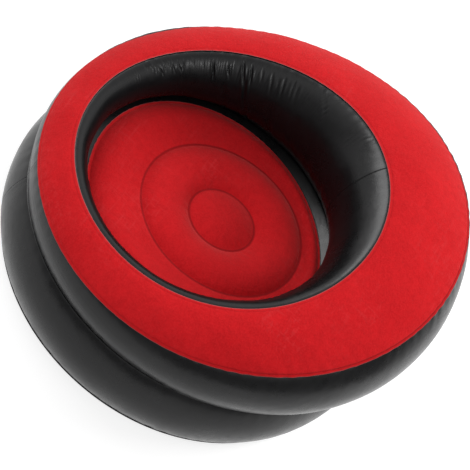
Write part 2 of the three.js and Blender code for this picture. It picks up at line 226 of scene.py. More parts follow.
# Marks on the flock, as shares and half widths: pressed pile by the welds, darkened partly as
# painted shade, and pale painted highlights by the cut edges
MARKED_TURN = 40
MARKED_SHARPNESS = 2
UNMARKED_SHARE = 0.1
RIM_MARK = (0.75, 1.7)
RIM_LAND_SHARE = 0.25
RIM_LINE_WIDTH = 2.6
HOLE_MARK = (0.3, 1.6)
SEAT_MARK_WIDTH = 2.8
RIM_HIGHLIGHT_WIDTH = 0.9
EDGE_HIGHLIGHT_WIDTH = 1.2

# Creases in the inner wall: the turn and the share of the way down at both ends, the half
# width and the depth
INNER_WALL_CREASES = [
    (-150.2, 0.04, -151.6, 0.13, 1.9, 0.8),
    (-152.2, 0.05, -153.6, 0.14, 1.7, 1.0),
    (-154.0, 0.08, -155.2, 0.18, 1.8, 1.3),
    (-155.6, 0.04, -156.9, 0.12, 1.6, 0.9),
    (-156.8, 0.11, -158.4, 0.23, 2.0, 1.5),
    (-158.6, 0.07, -159.8, 0.19, 1.8, 1.2),
    (-161.0, 0.05, -162.1, 0.16, 1.7, 0.9),
    (-162.8, 0.10, -164.0, 0.22, 2.1, 1.0),
    (-165.0, 0.09, -166.9, 0.21, 1.9, 1.6),
    (-168.2, 0.09, -167.2, 0.20, 1.9, 1.6),
    (-171.5, 0.05, -172.6, 0.15, 2.4, 0.7),
    (-176.0, 0.06, -176.8, 0.18, 2.4, 0.6),
    (179.4, 0.09, 178.0, 0.28, 2.2, 1.9),
    (173.4, 0.10, 171.1, 0.25, 2.0, 1.6),
    (171.4, 0.12, 170.9, 0.24, 1.8, 1.3),
    (167.4, 0.04, 164.4, 0.27, 2.3, 2.2),
    (164.8, 0.18, 159.6, 0.52, 3.4, 1.6),
    (160.8, 0.38, 154.6, 0.80, 5.0, 1.4),
    (163.6, 0.07, 161.4, 0.25, 2.4, 2.2),
    (159.0, 0.05, 157.4, 0.20, 2.6, 0.8),
    (154.6, 0.07, 151.9, 0.26, 2.6, 1.1),
    (151.4, 0.10, 149.8, 0.20, 2.4, 0.7),
    (148.9, 0.08, 147.1, 0.25, 2.6, 1.5),
    (144.9, 0.07, 143.2, 0.22, 2.4, 1.1),
    (142.4, 0.10, 140.6, 0.24, 3.0, 0.9),
    (133.2, 0.02, 128.6, 0.125, 2.2, 1.1),
    (130.4, 0.05, 127.9, 0.14, 1.8, 1.0),
    (126.0, 0.15, 128.4, 0.11, 2.2, 1.2),
    (128.0, 0.13, 124.6, 0.20, 2.6, 0.8),
    (107.6, 0.045, 102.6, 0.012, 2.0, 0.4),
    (106.4, 0.03, 104.8, 0.085, 2.2, 0.35),
    (148.0, 0.35, 142.0, 0.78, 7.0, 1.2),
    (172.0, 0.32, 166.5, 0.75, 6.5, 1.2),
    (134.5, 0.30, 129.0, 0.72, 8.0, 0.8),
    (119.0, 0.34, 115.5, 0.80, 8.0, 0.6),
    (104.0, 0.42, 102.5, 0.86, 7.0, 0.5),
]

# Their depth against the table, their taper, the share and place of the ridges beside them,
# the side of the well that has most of them, and how far the mesh's steps crowd there
CREASE_DEEPER = 2.1
CREASE_TAPER = 0.8
CREASE_RIDGE = (0.45, 2.1)
CREASED_TURN = 178
CREASED_SHARPNESS = 5
CREASE_CROWDING = 0.55

# Creases on the side of the well that the photo hides: their count, the turns they lie
# between, and the least and the most of each size
UNSEEN_CREASES = 12
UNSEEN_TURNS = (-84, 46)
UNSEEN_SEED = 61
UNSEEN_SIZES = ((-3, 3), (0.17, 0.24), (0.08, 0.22), (-2.5, 2.5), (3.0, 5.0), (0.5, 1.5))

# Fine streaks over the crest of the inner wall: their ground, and the bands they lie in, by
# place, width and strength
STREAK_GROUND = (1.0, 150, 380, 1.1, 55)
STREAK_WAVES = 22
STREAK_BANDS = ((0.15, 0.075, 1), (0.3, 0.12, 0.25))
STREAK_PATCHES = (0.6, 7, 23, 54)
STREAK_LEVEL = 0.6
STREAK_MOST = 1.4


def around(values, angle):
    """A value that runs smoothly round the chair through its front, side and back values."""
    front, side, back = values
    lean = np.sin(angle)
    return side + (back - front) / 2 * lean + ((back + front) / 2 - side) * lean**2


def toward(angle, turn, sharpness):
    """1 at a turn in degrees, falling smoothly to 0 across from it."""
    return (0.5 + 0.5 * np.cos(angle - math.radians(turn))) ** sharpness


def aside(angle, turn):
    """Angles measured from a turn in degrees, within half a turn to either side."""
    return (angle - np.radians(turn) + math.pi) % FULL_TURN - math.pi


def at_least(least, share):
    """A share from 0 to 1, lifted to run from its least value to 1."""
    return least + (1 - least) * share


def turns(steps, crowding=0.0, crowded_at=0.0):
    """Angles once round the chair, closer together about one of them."""
    even = FULL_TURN * np.arange(steps) / steps
    return even - crowding * np.sin(even - crowded_at)


def with_lap(angle, lap, radius):
    """Adds the fine steps that a lap of the film needs."""
    fine = math.radians(lap) + LAP_STEPS / radius
    return np.sort(np.concatenate([angle, fine]) % FULL_TURN)


def seam(sizes, angle):
    """Points of a seam that is an oval in plan."""
    half_width, front, back, heights = sizes
    y = (back - front) / 2 + (front + back) / 2 * np.sin(angle)
    return np.stack([half_width * np.cos(angle), y, around(heights, angle)], axis=-1)


def ring(radius, height, angle, setback=0.0):
    """Points of a level circle whose centre is set back a little to the front."""
    level = (height, height, height)
    return seam((radius, radius + setback, radius - setback, level), angle)


def lifted(points, height):
    return points + np.array([0, 0, height])


def unit(vectors):
    return vectors / np.linalg.norm(vectors, axis=-1, keepdims=True)


def gap(start, end):
    return np.linalg.norm(end - start, axis=-1)


def between(start, end, share):
    share = np.asarray(share)[..., None]
    return start + (end - start) * share


def placed_rows(start, end, near, middle):
    """Shares of the way between two seams for a panel's rows, and their distances from both."""
    chord = gap(start, end)
    share = spread(near, middle, chord)
    return share, share * chord, (1 - share) * chord


def strip(start, end, distances):
    """Rows of points at given distances from one seam on the straight way to another."""
    return np.stack([start + unit(end - start) * distance for distance in distances])


def spread(near, middle, chord):
    """Shares of the way from one seam to the other, with close rows by both seams."""
    start = np.array(near)[:, None] / chord
    end = 1 - start[::-1]
    inside = np.linspace(0, 1, middle + 2)[1:-1, None]
    return np.concatenate([start, start[-1] + (end[0] - start[-1]) * inside, end])


def arc(start, end, bulge, share):
    """Rows of points on the round arc of a film panel that air pushes out between two seams."""
    chord = end - start
    half = gap(start, end) / 2
    bend = 2 * np.arctan(np.maximum(bulge / half, LEAST_BEND_SHARE))
    turned = bend * (2 * share - 1)
    reach = (1 + np.sin(turned) / np.sin(bend)) / 2
    lift = half * (np.cos(turned) - np.cos(bend)) / np.sin(bend)
    along = np.roll(start + end, -1, axis=0) - np.roll(start + end, 1, axis=0)
    outward = unit(np.cross(along, chord))
    return start + reach[..., None] * chord + lift[..., None] * outward


def facing(points):
    """Outward unit normals of a grid of rows that close round the chair."""
    along = np.roll(points, -1, axis=1) - np.roll(points, 1, axis=1)
    across = np.gradient(points, axis=0)
    return unit(np.cross(along, across))


def raised(points, heights):
    return points + heights[..., None] * facing(points)


def waves(angle, size, low, high, seed, count=16):
    """A wavy value, mostly within its size, that closes on itself round the chair."""
    random = np.random.default_rng(seed)
    cycles = random.integers(low, high, count)
    phases = random.uniform(0, FULL_TURN, count)
    total = sum(np.cos(cycle * angle + phase) for cycle, phase in zip(cycles, phases))
    return size * total / math.sqrt(2 * count)


def rolling(angle, along, ground, count=14):
    """Soft uneven ground: waves round the chair that drift along the panel."""
    height, low, high, length, seed = ground
    random = np.random.default_rng(seed)
    cycles = random.integers(low, high, count)
    phases = random.uniform(0, FULL_TURN, count)
    drifts = random.uniform(-1, 1, count) * FULL_TURN / length
    total = sum(
        np.cos(cycle * angle + drift * along + phase)
        for cycle, phase, drift in zip(cycles, phases, drifts)
    )
    return height * total / math.sqrt(2 * count)


def line(distance, place, half_width):
    """1 on a line at that distance, fading to 0 on both sides."""
    return np.exp(-(((distance - place) / half_width) ** 2))


def fade(distance, length):
    return np.exp(-np.maximum(distance, 0) / length)


def by_both(start, end, length):
    """0 at both seams of a panel, and 1 from a length in."""
    return np.minimum(1, np.minimum(start, end) / length)


def weld_end(distance, strength, half_width):
    """A line of some strength where a weld ends."""
    return strength * line(distance, WELD_WIDTH, half_width)


def weld_groove(distance, depth, pillow):
    """The pressed line where a weld ends, and the film rounding up beyond it."""
    beyond = fade(distance - WELD_WIDTH, GROOVE_BEYOND_LENGTH)
    return pillow * (1 - beyond) - weld_end(distance, depth, GROOVE_LINE_WIDTH)


def puckers(angle, distance, gathers):
    """Small gathers that run from a weld into the panel."""
    length, *sizes = gathers
    start = 1 - fade(distance, GATHER_START)
    return start * fade(distance, length) * waves(angle, *sizes)


def by_weld(angle, distance, pinch, gathers):
    """Film by a weld: pinched, and gathered beyond."""
    return puckers(angle, distance, gathers) - pinch * fade(distance, PINCH_LENGTH)


def uneven(angle, start, end, ground, length=GROUND_START):
    """Uneven ground of a panel that is calm at both seams."""
    return by_both(start, end, length) * rolling(angle, start, ground)


def outward(angle, reach, lift):
    """Vectors that point level out of the chair, with a lift."""
    return np.stack([reach * np.cos(angle), reach * np.sin(angle), lift], axis=-1)


def edge_ripple(angle, ripple, strength):
    """How a welded edge waves up and out, as vectors."""
    lift, reach = (strength * waves(angle, *sizes) for sizes in ripple)
    return outward(angle, reach, lift)


def moved(points, distance, length, ripple):
    return points + fade(distance, length)[..., None] * ripple


def crease(angle, share, crease_sizes, radius):
    """One crease of an inflated wall, with the film rising a little on both sides of it."""
    turn_start, share_start, turn_end, share_end, half_width, depth = crease_sizes
    along = np.clip((share - share_start) / (share_end - share_start), 0, 1)
    across = aside(angle, turn_start + (turn_end - turn_start) * along) * radius
    taper = np.sin(math.pi * along) ** CREASE_TAPER
    ridge_share, ridge_place = CREASE_RIDGE
    ridge = ridge_share * line(np.abs(across), ridge_place * half_width, half_width)
    return CREASE_DEEPER * depth * taper * (ridge - line(across, 0, half_width))


def creased_side(angle):
    """1 on the side of the well that is most creased, 0 across from it."""
    return toward(angle, CREASED_TURN, CREASED_SHARPNESS)


def crest_streaks(angle, share):
    """Fine gathers over the crest of the inner wall, strongest where it is most creased."""
    patchy = STREAK_LEVEL + waves(angle, *STREAK_PATCHES)
    where = creased_side(angle) * np.clip(patchy, 0, STREAK_MOST)
    band = sum(strength * line(share, place, width) for place, width, strength in STREAK_BANDS)
    return where * band * rolling(angle, share, STREAK_GROUND, STREAK_WAVES)


def risen(distance, length):
    """0 before a place and 1 beyond it."""
    return 1 / (1 + np.exp(-np.clip(distance / length, -SAFE_EXPONENT, SAFE_EXPONENT)))


def film_lap(angle, turn, radius):
    """A lap of the film: a thin line and a strip of double thickness beside it."""
    across = aside(angle, turn) * radius
    first, last = LAP_STEEPNESS
    depth, place, half_width = LAP_LINE
    inside = risen(across, first) * risen(LAP_WIDTH - across, last)
    return LAP_HEIGHT * inside - depth * line(across, place, half_width)


def film_panel(name, points, thickness, finishes, shades=None, site=None):
    """A closed ring of film: a flat grid laid on rows of points, joined up and thickened."""
    rows, steps = points.shape[:2]
    bm = bmesh.new()
    bmesh.ops.create_grid(bm, x_segments=steps, y_segments=rows - 1, size=0.5)
    layers = {key: bm.verts.layers.float.new(key) for key in shades or {}}
    for vertex in bm.verts:
        step = round((vertex.co.x + 0.5) * steps) % steps
        row = round((vertex.co.y + 0.5) * (rows - 1))
        vertex.co = points[row, step] * MILLIMETRE
        for key, layer in layers.items():
            vertex[layer] = shades[key][row, step]
    if site is not None:
        open_round(bm, site)
    bmesh.ops.remove_doubles(bm, verts=bm.verts, dist=MERGE_DISTANCE * MILLIMETRE)
    piece = finished(name, bm, finishes)
    piece.data.set_sharp_from_angle(angle=math.radians(FILM_SHARP_ANGLE))
    wall = piece.modifiers.new("film_thickness", "SOLIDIFY")
    wall.thickness = thickness * MILLIMETRE
    wall.offset = -1
    wall.use_rim = True
    wall.material_offset = 1 if len(finishes) > 1 else 0
    wall.material_offset_rim = 2 if len(finishes) > 2 else 0
    return piece


def open_round(bm, site):
    """Opens a round hole for a valve's neck, and lifts the film over the flange behind it."""
    reach = FLANGE_RADIUS * PRINT_ROOM_SHARE * MILLIMETRE
    close = {vertex for vertex in bm.verts if (vertex.co - site.place).length < reach}
    edges = [edge for edge in bm.edges if close.issuperset(edge.verts)]
    bmesh.ops.subdivide_edges(bm, edges=edges, cuts=PRINT_CUTS, use_grid_fill=True)
    inside = set()
    for vertex in bm.verts:
        away = vertex.co - site.place
        if away.length > reach:
            continue
        height = away.dot(site.out)
        flat = away - height * site.out
        over = min(1, max(0, FLANGE_RADIUS + PRINT_SLOPE - flat.length / MILLIMETRE) / PRINT_SLOPE)
        height = height + PRINT_HEIGHT * MILLIMETRE * over**2 * (3 - 2 * over)
        if flat.length < site.film_hole:
            inside.add(vertex)
            flat = flat.normalized() * site.film_hole
        vertex.co = site.place + height * site.out + flat
    lost = [face for face in bm.faces if inside.issuperset(face.verts)]
    bmesh.ops.delete(bm, geom=lost, context="FACES")


def finished(name, bm, finishes):
    """A smooth shaded object from a bmesh, with its material slots."""
    mesh = bpy.data.meshes.new(name)
    bm.to_mesh(mesh)
    bm.free()
    mesh.shade_smooth()
    for finish in finishes:
        mesh.materials.append(finish)
    piece = bpy.data.objects.new(name, mesh)
    bpy.context.scene.collection.objects.link(piece)
    return piece


def node(tree, kind, inputs=None, **settings):
    """Adds a node. An input is a value or the socket that feeds it."""
    made = tree.nodes.new(kind)
    for key, value in settings.items():
        setattr(made, key, value)
    for key, value in (inputs or {}).items():
        if isinstance(value, bpy.types.NodeSocket):
            tree.links.new(value, made.inputs[key])
        else:
            made.inputs[key].default_value = value
    return made


def combined(tree, first, second, operation="ADD"):
    made = node(tree, "ShaderNodeMath", {0: first, 1: second}, operation=operation)
    return made.outputs[0]


def ranged(tree, value, low=0.0, high=1.0, start=0.0, end=1.0, kind="LINEAR"):
    """Turns a value between start and end into one between low and high."""
    limits = {"Value": value, "From Min": start, "From Max": end, "To Min": low, "To Max": high}
    return node(tree, "ShaderNodeMapRange", limits, interpolation_type=kind).outputs["Result"]


def eased(tree, value, start, end):
    """Turns a value between start and end into one from 0 to 1, softly at both ends."""
    return ranged(tree, value, start=start, end=end, kind="SMOOTHSTEP")


def noised(tree, vector, scale, detail, roughness=0.5):
    values = {"Vector": vector, "Scale": scale, "Detail": detail, "Roughness": roughness}
    return node(tree, "ShaderNodeTexNoise", values).outputs["Fac"]


def on_object(tree):
    return node(tree, "ShaderNodeTexCoord").outputs["Object"]


def new_group(name, inputs, output):
    """A node group with one plain output, and the sockets that bring its inputs in."""
    tree = bpy.data.node_groups.new(name, "ShaderNodeTree")
    for key, value in inputs.items():
        kind = "NodeSocketVector" if isinstance(value, tuple) else "NodeSocketFloat"
        socket = tree.interface.new_socket(name=key, in_out="INPUT", socket_type=kind)
        socket.default_value = value
    tree.interface.new_socket(name=output, in_out="OUTPUT", socket_type="NodeSocketFloat")
    return tree, tree.nodes.new("NodeGroupInput").outputs


def with_result(tree, value):
    tree.links.new(value, tree.nodes.new("NodeGroupOutput").inputs[0])
    return tree


def cloud_group():
    """Soft patches on Object coordinates, from 0 to 1."""
    inputs = {"Scale": 10.0, "Detail": 3.0, "Sharpness": 0.2}
    tree, given = new_group("soft_patches", inputs, "Patches")
    noise = noised(tree, on_object(tree), given["Scale"], given["Detail"], roughness=0.55)
    low = combined(tree, 0.5, given["Sharpness"], "SUBTRACT")
    high = combined(tree, 0.5, given["Sharpness"])
    return with_result(tree, eased(tree, noise, low, high))


def rub_group():
    """Long soft strokes, as a hand leaves them on a pile or on soft film, from 0 to 1."""
    inputs = {"Turn": (0.0, 0.0, 0.6), "Length": 7.0, "Closeness": 90.0, "Amount": 0.5}
    tree, given = new_group("rub_marks", inputs, "Marks")
    place = on_object(tree)
    turn = {"Vector": place, "Rotation": given["Turn"]}
    turned = node(tree, "ShaderNodeVectorRotate", turn, rotation_type="EULER_XYZ").outputs[0]
    close = given["Closeness"]
    sizes = {"X": given["Length"], "Y": close, "Z": close}
    stretch = node(tree, "ShaderNodeCombineXYZ", sizes).outputs[0]
    drawn = node(tree, "ShaderNodeVectorMath", {0: turned, 1: stretch}, operation="MULTIPLY")
    strokes = noised(tree, drawn.outputs["Vector"], scale=1.0, detail=2.0)
    thin = eased(tree, strokes, start=0.52, end=0.72)
    where = noised(tree, place, scale=6.0, detail=1.0)
    some = eased(tree, where, start=0.45, end=0.62)
    both = combined(tree, thin, some, "MULTIPLY")
    return with_result(tree, combined(tree, both, given["Amount"], "MULTIPLY"))


SOFT_PATCHES = cloud_group()
RUB_MARKS = rub_group()


def effect(tree, group, values):
    """Places a shared effect in a material, with this material's own values."""
    return node(tree, "ShaderNodeGroup", values, node_tree=group).outputs[0]


def patches(tree, scale, detail, sharpness):
    values = {"Scale": scale, "Detail": detail, "Sharpness": sharpness}
    return effect(tree, SOFT_PATCHES, values)


def rubbed(tree, turn, length, closeness, amount):
    turn = (0.0, 0.0, math.radians(turn))
    values = {"Turn": turn, "Length": length, "Closeness": closeness, "Amount": amount}
    return effect(tree, RUB_MARKS, values)


def mixed(tree, share, first, second):
    """The colour between two colours, by a share that is a socket or a number."""
    colours = {0: share, 6: first, 7: second}
    return node(tree, "ShaderNodeMix", colours, data_type="RGBA").outputs[2]


def bumped(tree, height, depth, normal=None):
    inputs = {"Height": height, "Distance": depth * MILLIMETRE}
    if normal is not None:
        inputs["Normal"] = normal
    return node(tree, "ShaderNodeBump", inputs).outputs["Normal"]


def new_finish(name, **constants):
    """A material with a Principled surface whose plain values are set on its own sockets."""
    finish = bpy.data.materials.new(name)
    finish.use_nodes = True
    surface = finish.node_tree.nodes["Principled BSDF"]
    for key, value in constants.items():
        surface.inputs[key.replace("_", " ")].default_value = value
    return finish, finish.node_tree, surface


def feed(tree, surface, colour=None, roughness=None, normal=None):
    """Links what varies over a material to its surface."""
    sockets = {"Base Color": colour, "Roughness": roughness, "Normal": normal}
    for key, value in sockets.items():
        if value is not None:
            tree.links.new(value, surface.inputs[key])


def mask(tree, name):
    return node(tree, "ShaderNodeAttribute", attribute_name=name).outputs["Fac"]


def lighter(colour, factor):
    return tuple(factor * value for value in colour[:3]) + (1.0,)


# Colours
FLOCK_DEEP = (0.600, 0.0085, 0.0125, 1.0)
FLOCK_LIT = (0.705, 0.0125, 0.0170, 1.0)
FLOCK_MOTTLE = (0.47, 0.0080, 0.011, 1.0)
FLOCK_TUFT = (0.75, 0.0190, 0.024, 1.0)
FLOCK_RUBBED = (0.68, 0.040, 0.045, 1.0)
# Pressed pile on the welds, darkened further as painted shade in the weld grooves
FLOCK_PRESSED_AND_SHADED = (0.17, 0.0030, 0.0050, 1.0)
# Painted shade for the flock as the black film reflects it
FLOCK_SHADE_IN_GLOSS = (0.10, 0.0020, 0.0030, 1.0)
FLOCK_SHEEN = (1.0, 0.42, 0.40, 1.0)
# Pale line along the flock's cut edges: a painted highlight
PAINTED_EDGE_HIGHLIGHT = (0.30, 0.16, 0.16, 1.0)
# Cut edge of the film, pale partly as a painted highlight, with dusty patches
CUT_EDGE_DARK = (0.16, 0.10, 0.10, 1.0)
CUT_EDGE_DUSTY = (0.30, 0.24, 0.24, 1.0)
WALL_BLACK = (0.0046, 0.0046, 0.0050, 1.0)
BACK_BLACK = (0.008, 0.008, 0.009, 1.0)
MOULDING_BLACK = (0.016, 0.016, 0.018, 1.0)
PLUG_BLACK = (0.022, 0.022, 0.025, 1.0)
FLOOR_GREY = (0.45, 0.45, 0.45, 1.0)
WHITE = (1.0, 1.0, 1.0, 1.0)

# How much each roughness varies over a material
FILM_ROUGHNESS_SPREAD = 0.05
VALVE_ROUGHNESS_SPREAD = 0.1


def red_flock():
    """Short dense pile: mottled, with soft rub marks, flattened on the welds and darker there,
    partly as painted shade, with pale painted highlights on its cut edges. The black film reflects
    it darker than the camera sees it, as painted shade."""
    finish, tree, surface = new_finish(
        "red_flock",
        Specular_IOR_Level=0.09,
        Sheen_Weight=0.2,
        Sheen_Roughness=0.45,
        Sheen_Tint=FLOCK_SHEEN,
    )
    broad = patches(tree, scale=7.0, detail=2.0, sharpness=0.22)
    mottle = patches(tree, scale=55.0, detail=4.0, sharpness=0.25)
    tufts = patches(tree, scale=210.0, detail=3.0, sharpness=0.2)
    fibres = patches(tree, scale=900.0, detail=3.0, sharpness=0.3)
    marks = combined(
        tree,
        rubbed(tree, turn=35, length=9, closeness=120, amount=0.3),
        rubbed(tree, turn=-50, length=14, closeness=170, amount=0.24),
    )
    pressed_and_shaded = mask(tree, "pressed_and_shaded")
    # Glossy rays see the flock darker: painted shade on its reflections
    reflected = tree.nodes.new("ShaderNodeLightPath").outputs["Is Glossy Ray"]
    colour = FLOCK_DEEP
    for share, most, tint in (
        (broad, 1.0, FLOCK_LIT),
        (mottle, 0.5, FLOCK_MOTTLE),
        (tufts, 0.45, FLOCK_TUFT),
        (fibres, 0.3, FLOCK_MOTTLE),
        (marks, 1.0, FLOCK_RUBBED),
        (pressed_and_shaded, 0.75, FLOCK_PRESSED_AND_SHADED),
        (mask(tree, "edge_highlight"), 0.7, PAINTED_EDGE_HIGHLIGHT),
        (reflected, 0.75, FLOCK_SHADE_IN_GLOSS),
    ):
        colour = mixed(tree, ranged(tree, share, high=most), colour, tint)
    normal = None
    for height, depth in ((mottle, 0.5), (tufts, 0.3), (fibres, 0.22)):
        normal = bumped(tree, height, depth, normal)
    feed(tree, surface, colour, ranged(tree, pressed_and_shaded, low=0.95, high=0.75), normal)
    return finish


def black_film(name, base, roughness):
    """Soft vinyl film: a satin sheen that varies, faint ripples and a fine grain."""
    finish, tree, surface = new_finish(name, Specular_IOR_Level=0.3)
    handled = patches(tree, scale=9.0, detail=3.0, sharpness=0.25)
    haze = patches(tree, scale=60.0, detail=4.0, sharpness=0.3)
    grain = patches(tree, scale=700.0, detail=2.0, sharpness=0.3)
    waviness = patches(tree, scale=26.0, detail=2.0, sharpness=0.4)
    marks = rubbed(tree, turn=20, length=6, closeness=60, amount=0.5)
    colour = mixed(tree, ranged(tree, haze, high=0.5), base, lighter(base, factor=1.5))
    least = roughness - FILM_ROUGHNESS_SPREAD
    rough = ranged(tree, handled, low=least, high=roughness + FILM_ROUGHNESS_SPREAD)
    for share, most in ((haze, 0.05), (marks, 0.12)):
        rough = combined(tree, rough, ranged(tree, share, high=most))
    normal = bumped(tree, grain, depth=0.025, normal=bumped(tree, waviness, depth=0.35))
    feed(tree, surface, colour, rough, normal)
    return finish


def film_edge():
    """The cut edge of a film, pale partly as a painted highlight, and a little dusty."""
    finish, tree, surface = new_finish("film_cut_edge", Roughness=0.6, Specular_IOR_Level=0.4)
    dust = patches(tree, scale=130.0, detail=3.0, sharpness=0.25)
    colour = mixed(tree, dust, CUT_EDGE_DARK, CUT_EDGE_DUSTY)
    feed(tree, surface, colour, normal=bumped(tree, dust, depth=0.05))
    return finish


def valve_vinyl(name, base, roughness):
    """Moulded vinyl: satin, with a faint flow and a fine mould grain."""
    finish, tree, surface = new_finish(name, Specular_IOR_Level=0.5)
    flow = patches(tree, scale=90.0, detail=2.0, sharpness=0.3)
    grain = patches(tree, scale=2200.0, detail=2.0, sharpness=0.3)
    colour = mixed(tree, flow, base, lighter(base, factor=1.6))
    rough = ranged(tree, flow, low=roughness, high=roughness + VALVE_ROUGHNESS_SPREAD)
    feed(tree, surface, colour, rough, bumped(tree, grain, depth=0.02))
    return finish


FLOCK = red_flock()
WALL_FILM = black_film("black_wall_film", WALL_BLACK, roughness=0.27)
FILM_BACK = black_film("black_film_back", BACK_BLACK, roughness=0.5)
CUT_EDGE = film_edge()
MOULDING = valve_vinyl("valve_moulding_vinyl", MOULDING_BLACK, roughness=0.42)
PLUG = valve_vinyl("valve_plug_vinyl", PLUG_BLACK, roughness=0.5)
FLOCKED = [FLOCK, FILM_BACK, CUT_EDGE]
PLAIN = [WALL_FILM]


def rim_ripple(angle):
    """How the rim's welded edge waves, as vectors. It waves most round the high back."""
    back = np.clip(0.5 + RIM_BACK_LEAN * np.sin(angle), 0, 1)
    patchy = RIM_PATCH_LEVEL + waves(angle, *RIM_PATCHES)
    return edge_ripple(angle, RIM_RIPPLE, at_least(RIM_FRONT_SHARE, back) * patchy)


def fin_share(angle):
    """1 where the black film stands out most at the rim, less elsewhere."""
    total = sum(line(aside(angle, turn), 0, math.radians(width)) for turn, width in FIN_TURNS)
    return np.minimum(at_least(FIN_ELSEWHERE_SHARE, total), 1)


def rim_fin(angle):
    """How far the black film stands out under the red at the rim."""
    reach = RIM_FIN * fin_share(angle) * (1 + waves(angle, *FIN_WAVES))
    return outward(angle, reach, np.zeros_like(angle))


def hole_ripple(angle):
    strength = at_least(UNCREASED_RIPPLE_SHARE, creased_side(angle))
    return edge_ripple(angle, HOLE_RIPPLE, strength)


def top_seams(angle):
    return seam(RIM_SEAM, angle), seam(HOLE_SEAM, angle)


def band_chord(angle):
    """The straight way across the top panel, from the rim seam to the hole seam."""
    return gap(*top_seams(angle))


def rim_arc(angle, share):
    """The top panel's arc between its seams."""
    return arc(*top_seams(angle), band_chord(angle) * TOP_CROWN_SHARE, share)


def under_top(angle, share):
    """Rows on the underside of the top panel, for a wall's welded strip."""
    points = rim_arc(angle, share)
    return raised(points, np.full(points.shape[:2], -UNDER_FLOCK))


def ring_top_panel():
    angle = turns(TOP_STEPS)
    share, from_rim, from_hole = placed_rows(*top_seams(angle), TOP_NEAR, TOP_ROWS)
    points = rim_arc(angle, share)
    rise = weld_groove(from_rim, *RIM_GROOVE) + weld_groove(from_hole, *HOLE_GROOVE)
    rise += puckers(angle, from_rim - WELD_WIDTH, RIM_GATHERS)
    rise += puckers(angle, from_hole - WELD_WIDTH, HOLE_GATHERS)
    rise += uneven(angle, from_rim, from_hole, TOP_GROUND, TOP_GROUND_START)
    points = raised(points, rise)
    points = moved(points, from_rim, RIM_RIPPLE_LENGTH, rim_ripple(angle))
    points = moved(points, from_hole, HOLE_RIPPLE_LENGTH, hole_ripple(angle))
    # Welded pile is pressed darker, deepened as painted shade most towards turn 40, away from the
    # side lamp, with a painted dark line at the rim where the black film stands out
    weld_mark = weld_end(from_rim, *RIM_MARK) + RIM_LAND_SHARE * (from_rim < WELD_WIDTH)
    marked = at_least(UNMARKED_SHARE, toward(angle, MARKED_TURN, MARKED_SHARPNESS))
    rim_shade_line = line(from_rim, 0, RIM_LINE_WIDTH) * fin_share(angle)
    # A pale painted highlight along the cut edges, at the rim where the black film does not stand
    # out
    rim_highlight = line(from_rim, 0, RIM_HIGHLIGHT_WIDTH) * (1 - fin_share(angle))
    shades = {
        "pressed_and_shaded": weld_mark * marked + rim_shade_line + weld_end(from_hole, *HOLE_MARK),
        "edge_highlight": np.maximum(rim_highlight, line(from_hole, 0, EDGE_HIGHLIGHT_WIDTH)),
    }
    return film_panel("top_panel_flock", points, FLOCKED_FILM, FLOCKED, shades)


def ring_outer_wall(site):
    angle = with_lap(turns(WALL_STEPS), OUTER_WALL_LAP, RIM_SEAM.half_width)
    deck_edge = lifted(seam(BASE_SEAM, angle), WELD_GAP)
    top = under_top(angle, WELD_ROWS[:, None] / band_chord(angle))
    share, from_foot, from_rim = placed_rows(deck_edge, top[0], WALL_NEAR, OUTER_WALL_ROWS)
    points = arc(deck_edge, top[0], around(OUTER_WALL_BULGE, angle), share)
    rim_pinch = RIM_PINCH * (1 - fin_share(angle))
    rise = by_weld(angle, from_rim, rim_pinch, OUTER_RIM_GATHERS)
    rise += by_weld(angle, from_foot, PINCH, OUTER_FOOT_GATHERS)
    for ground in (OUTER_WALL_GROUND, OUTER_WALL_RIBS):
        rise += uneven(angle, from_foot, from_rim, ground)
    points = raised(points, rise + film_lap(angle, OUTER_WALL_LAP, RIM_SEAM.half_width))
    points = moved(points, from_rim, RIM_RIPPLE_LENGTH, rim_ripple(angle))
    points = moved(points, from_rim, FIN_LENGTH, rim_fin(angle))
    inside = strip(deck_edge, lifted(seam(WELL_SEAM, angle), WELD_GAP), WELD_ROWS[:0:-1])
    lap = top[1:] + rim_ripple(angle)
    points = np.concatenate([inside, points, lap])
    return film_panel("outer_wall_film", points, FILM, PLAIN, site=site)


def inner_wall_arc(hole, foot, angle, share):
    """The inner wall between its seams. Its low part is pushed out less."""
    points = arc(hole, foot, around(INNER_WALL_BULGE, angle), share)
    low_part = line(share, LOW_PLACE_SHARE, LOW_WIDTH_SHARE)
    return raised(points, -around(LOW_SETBACK, angle) * low_part)


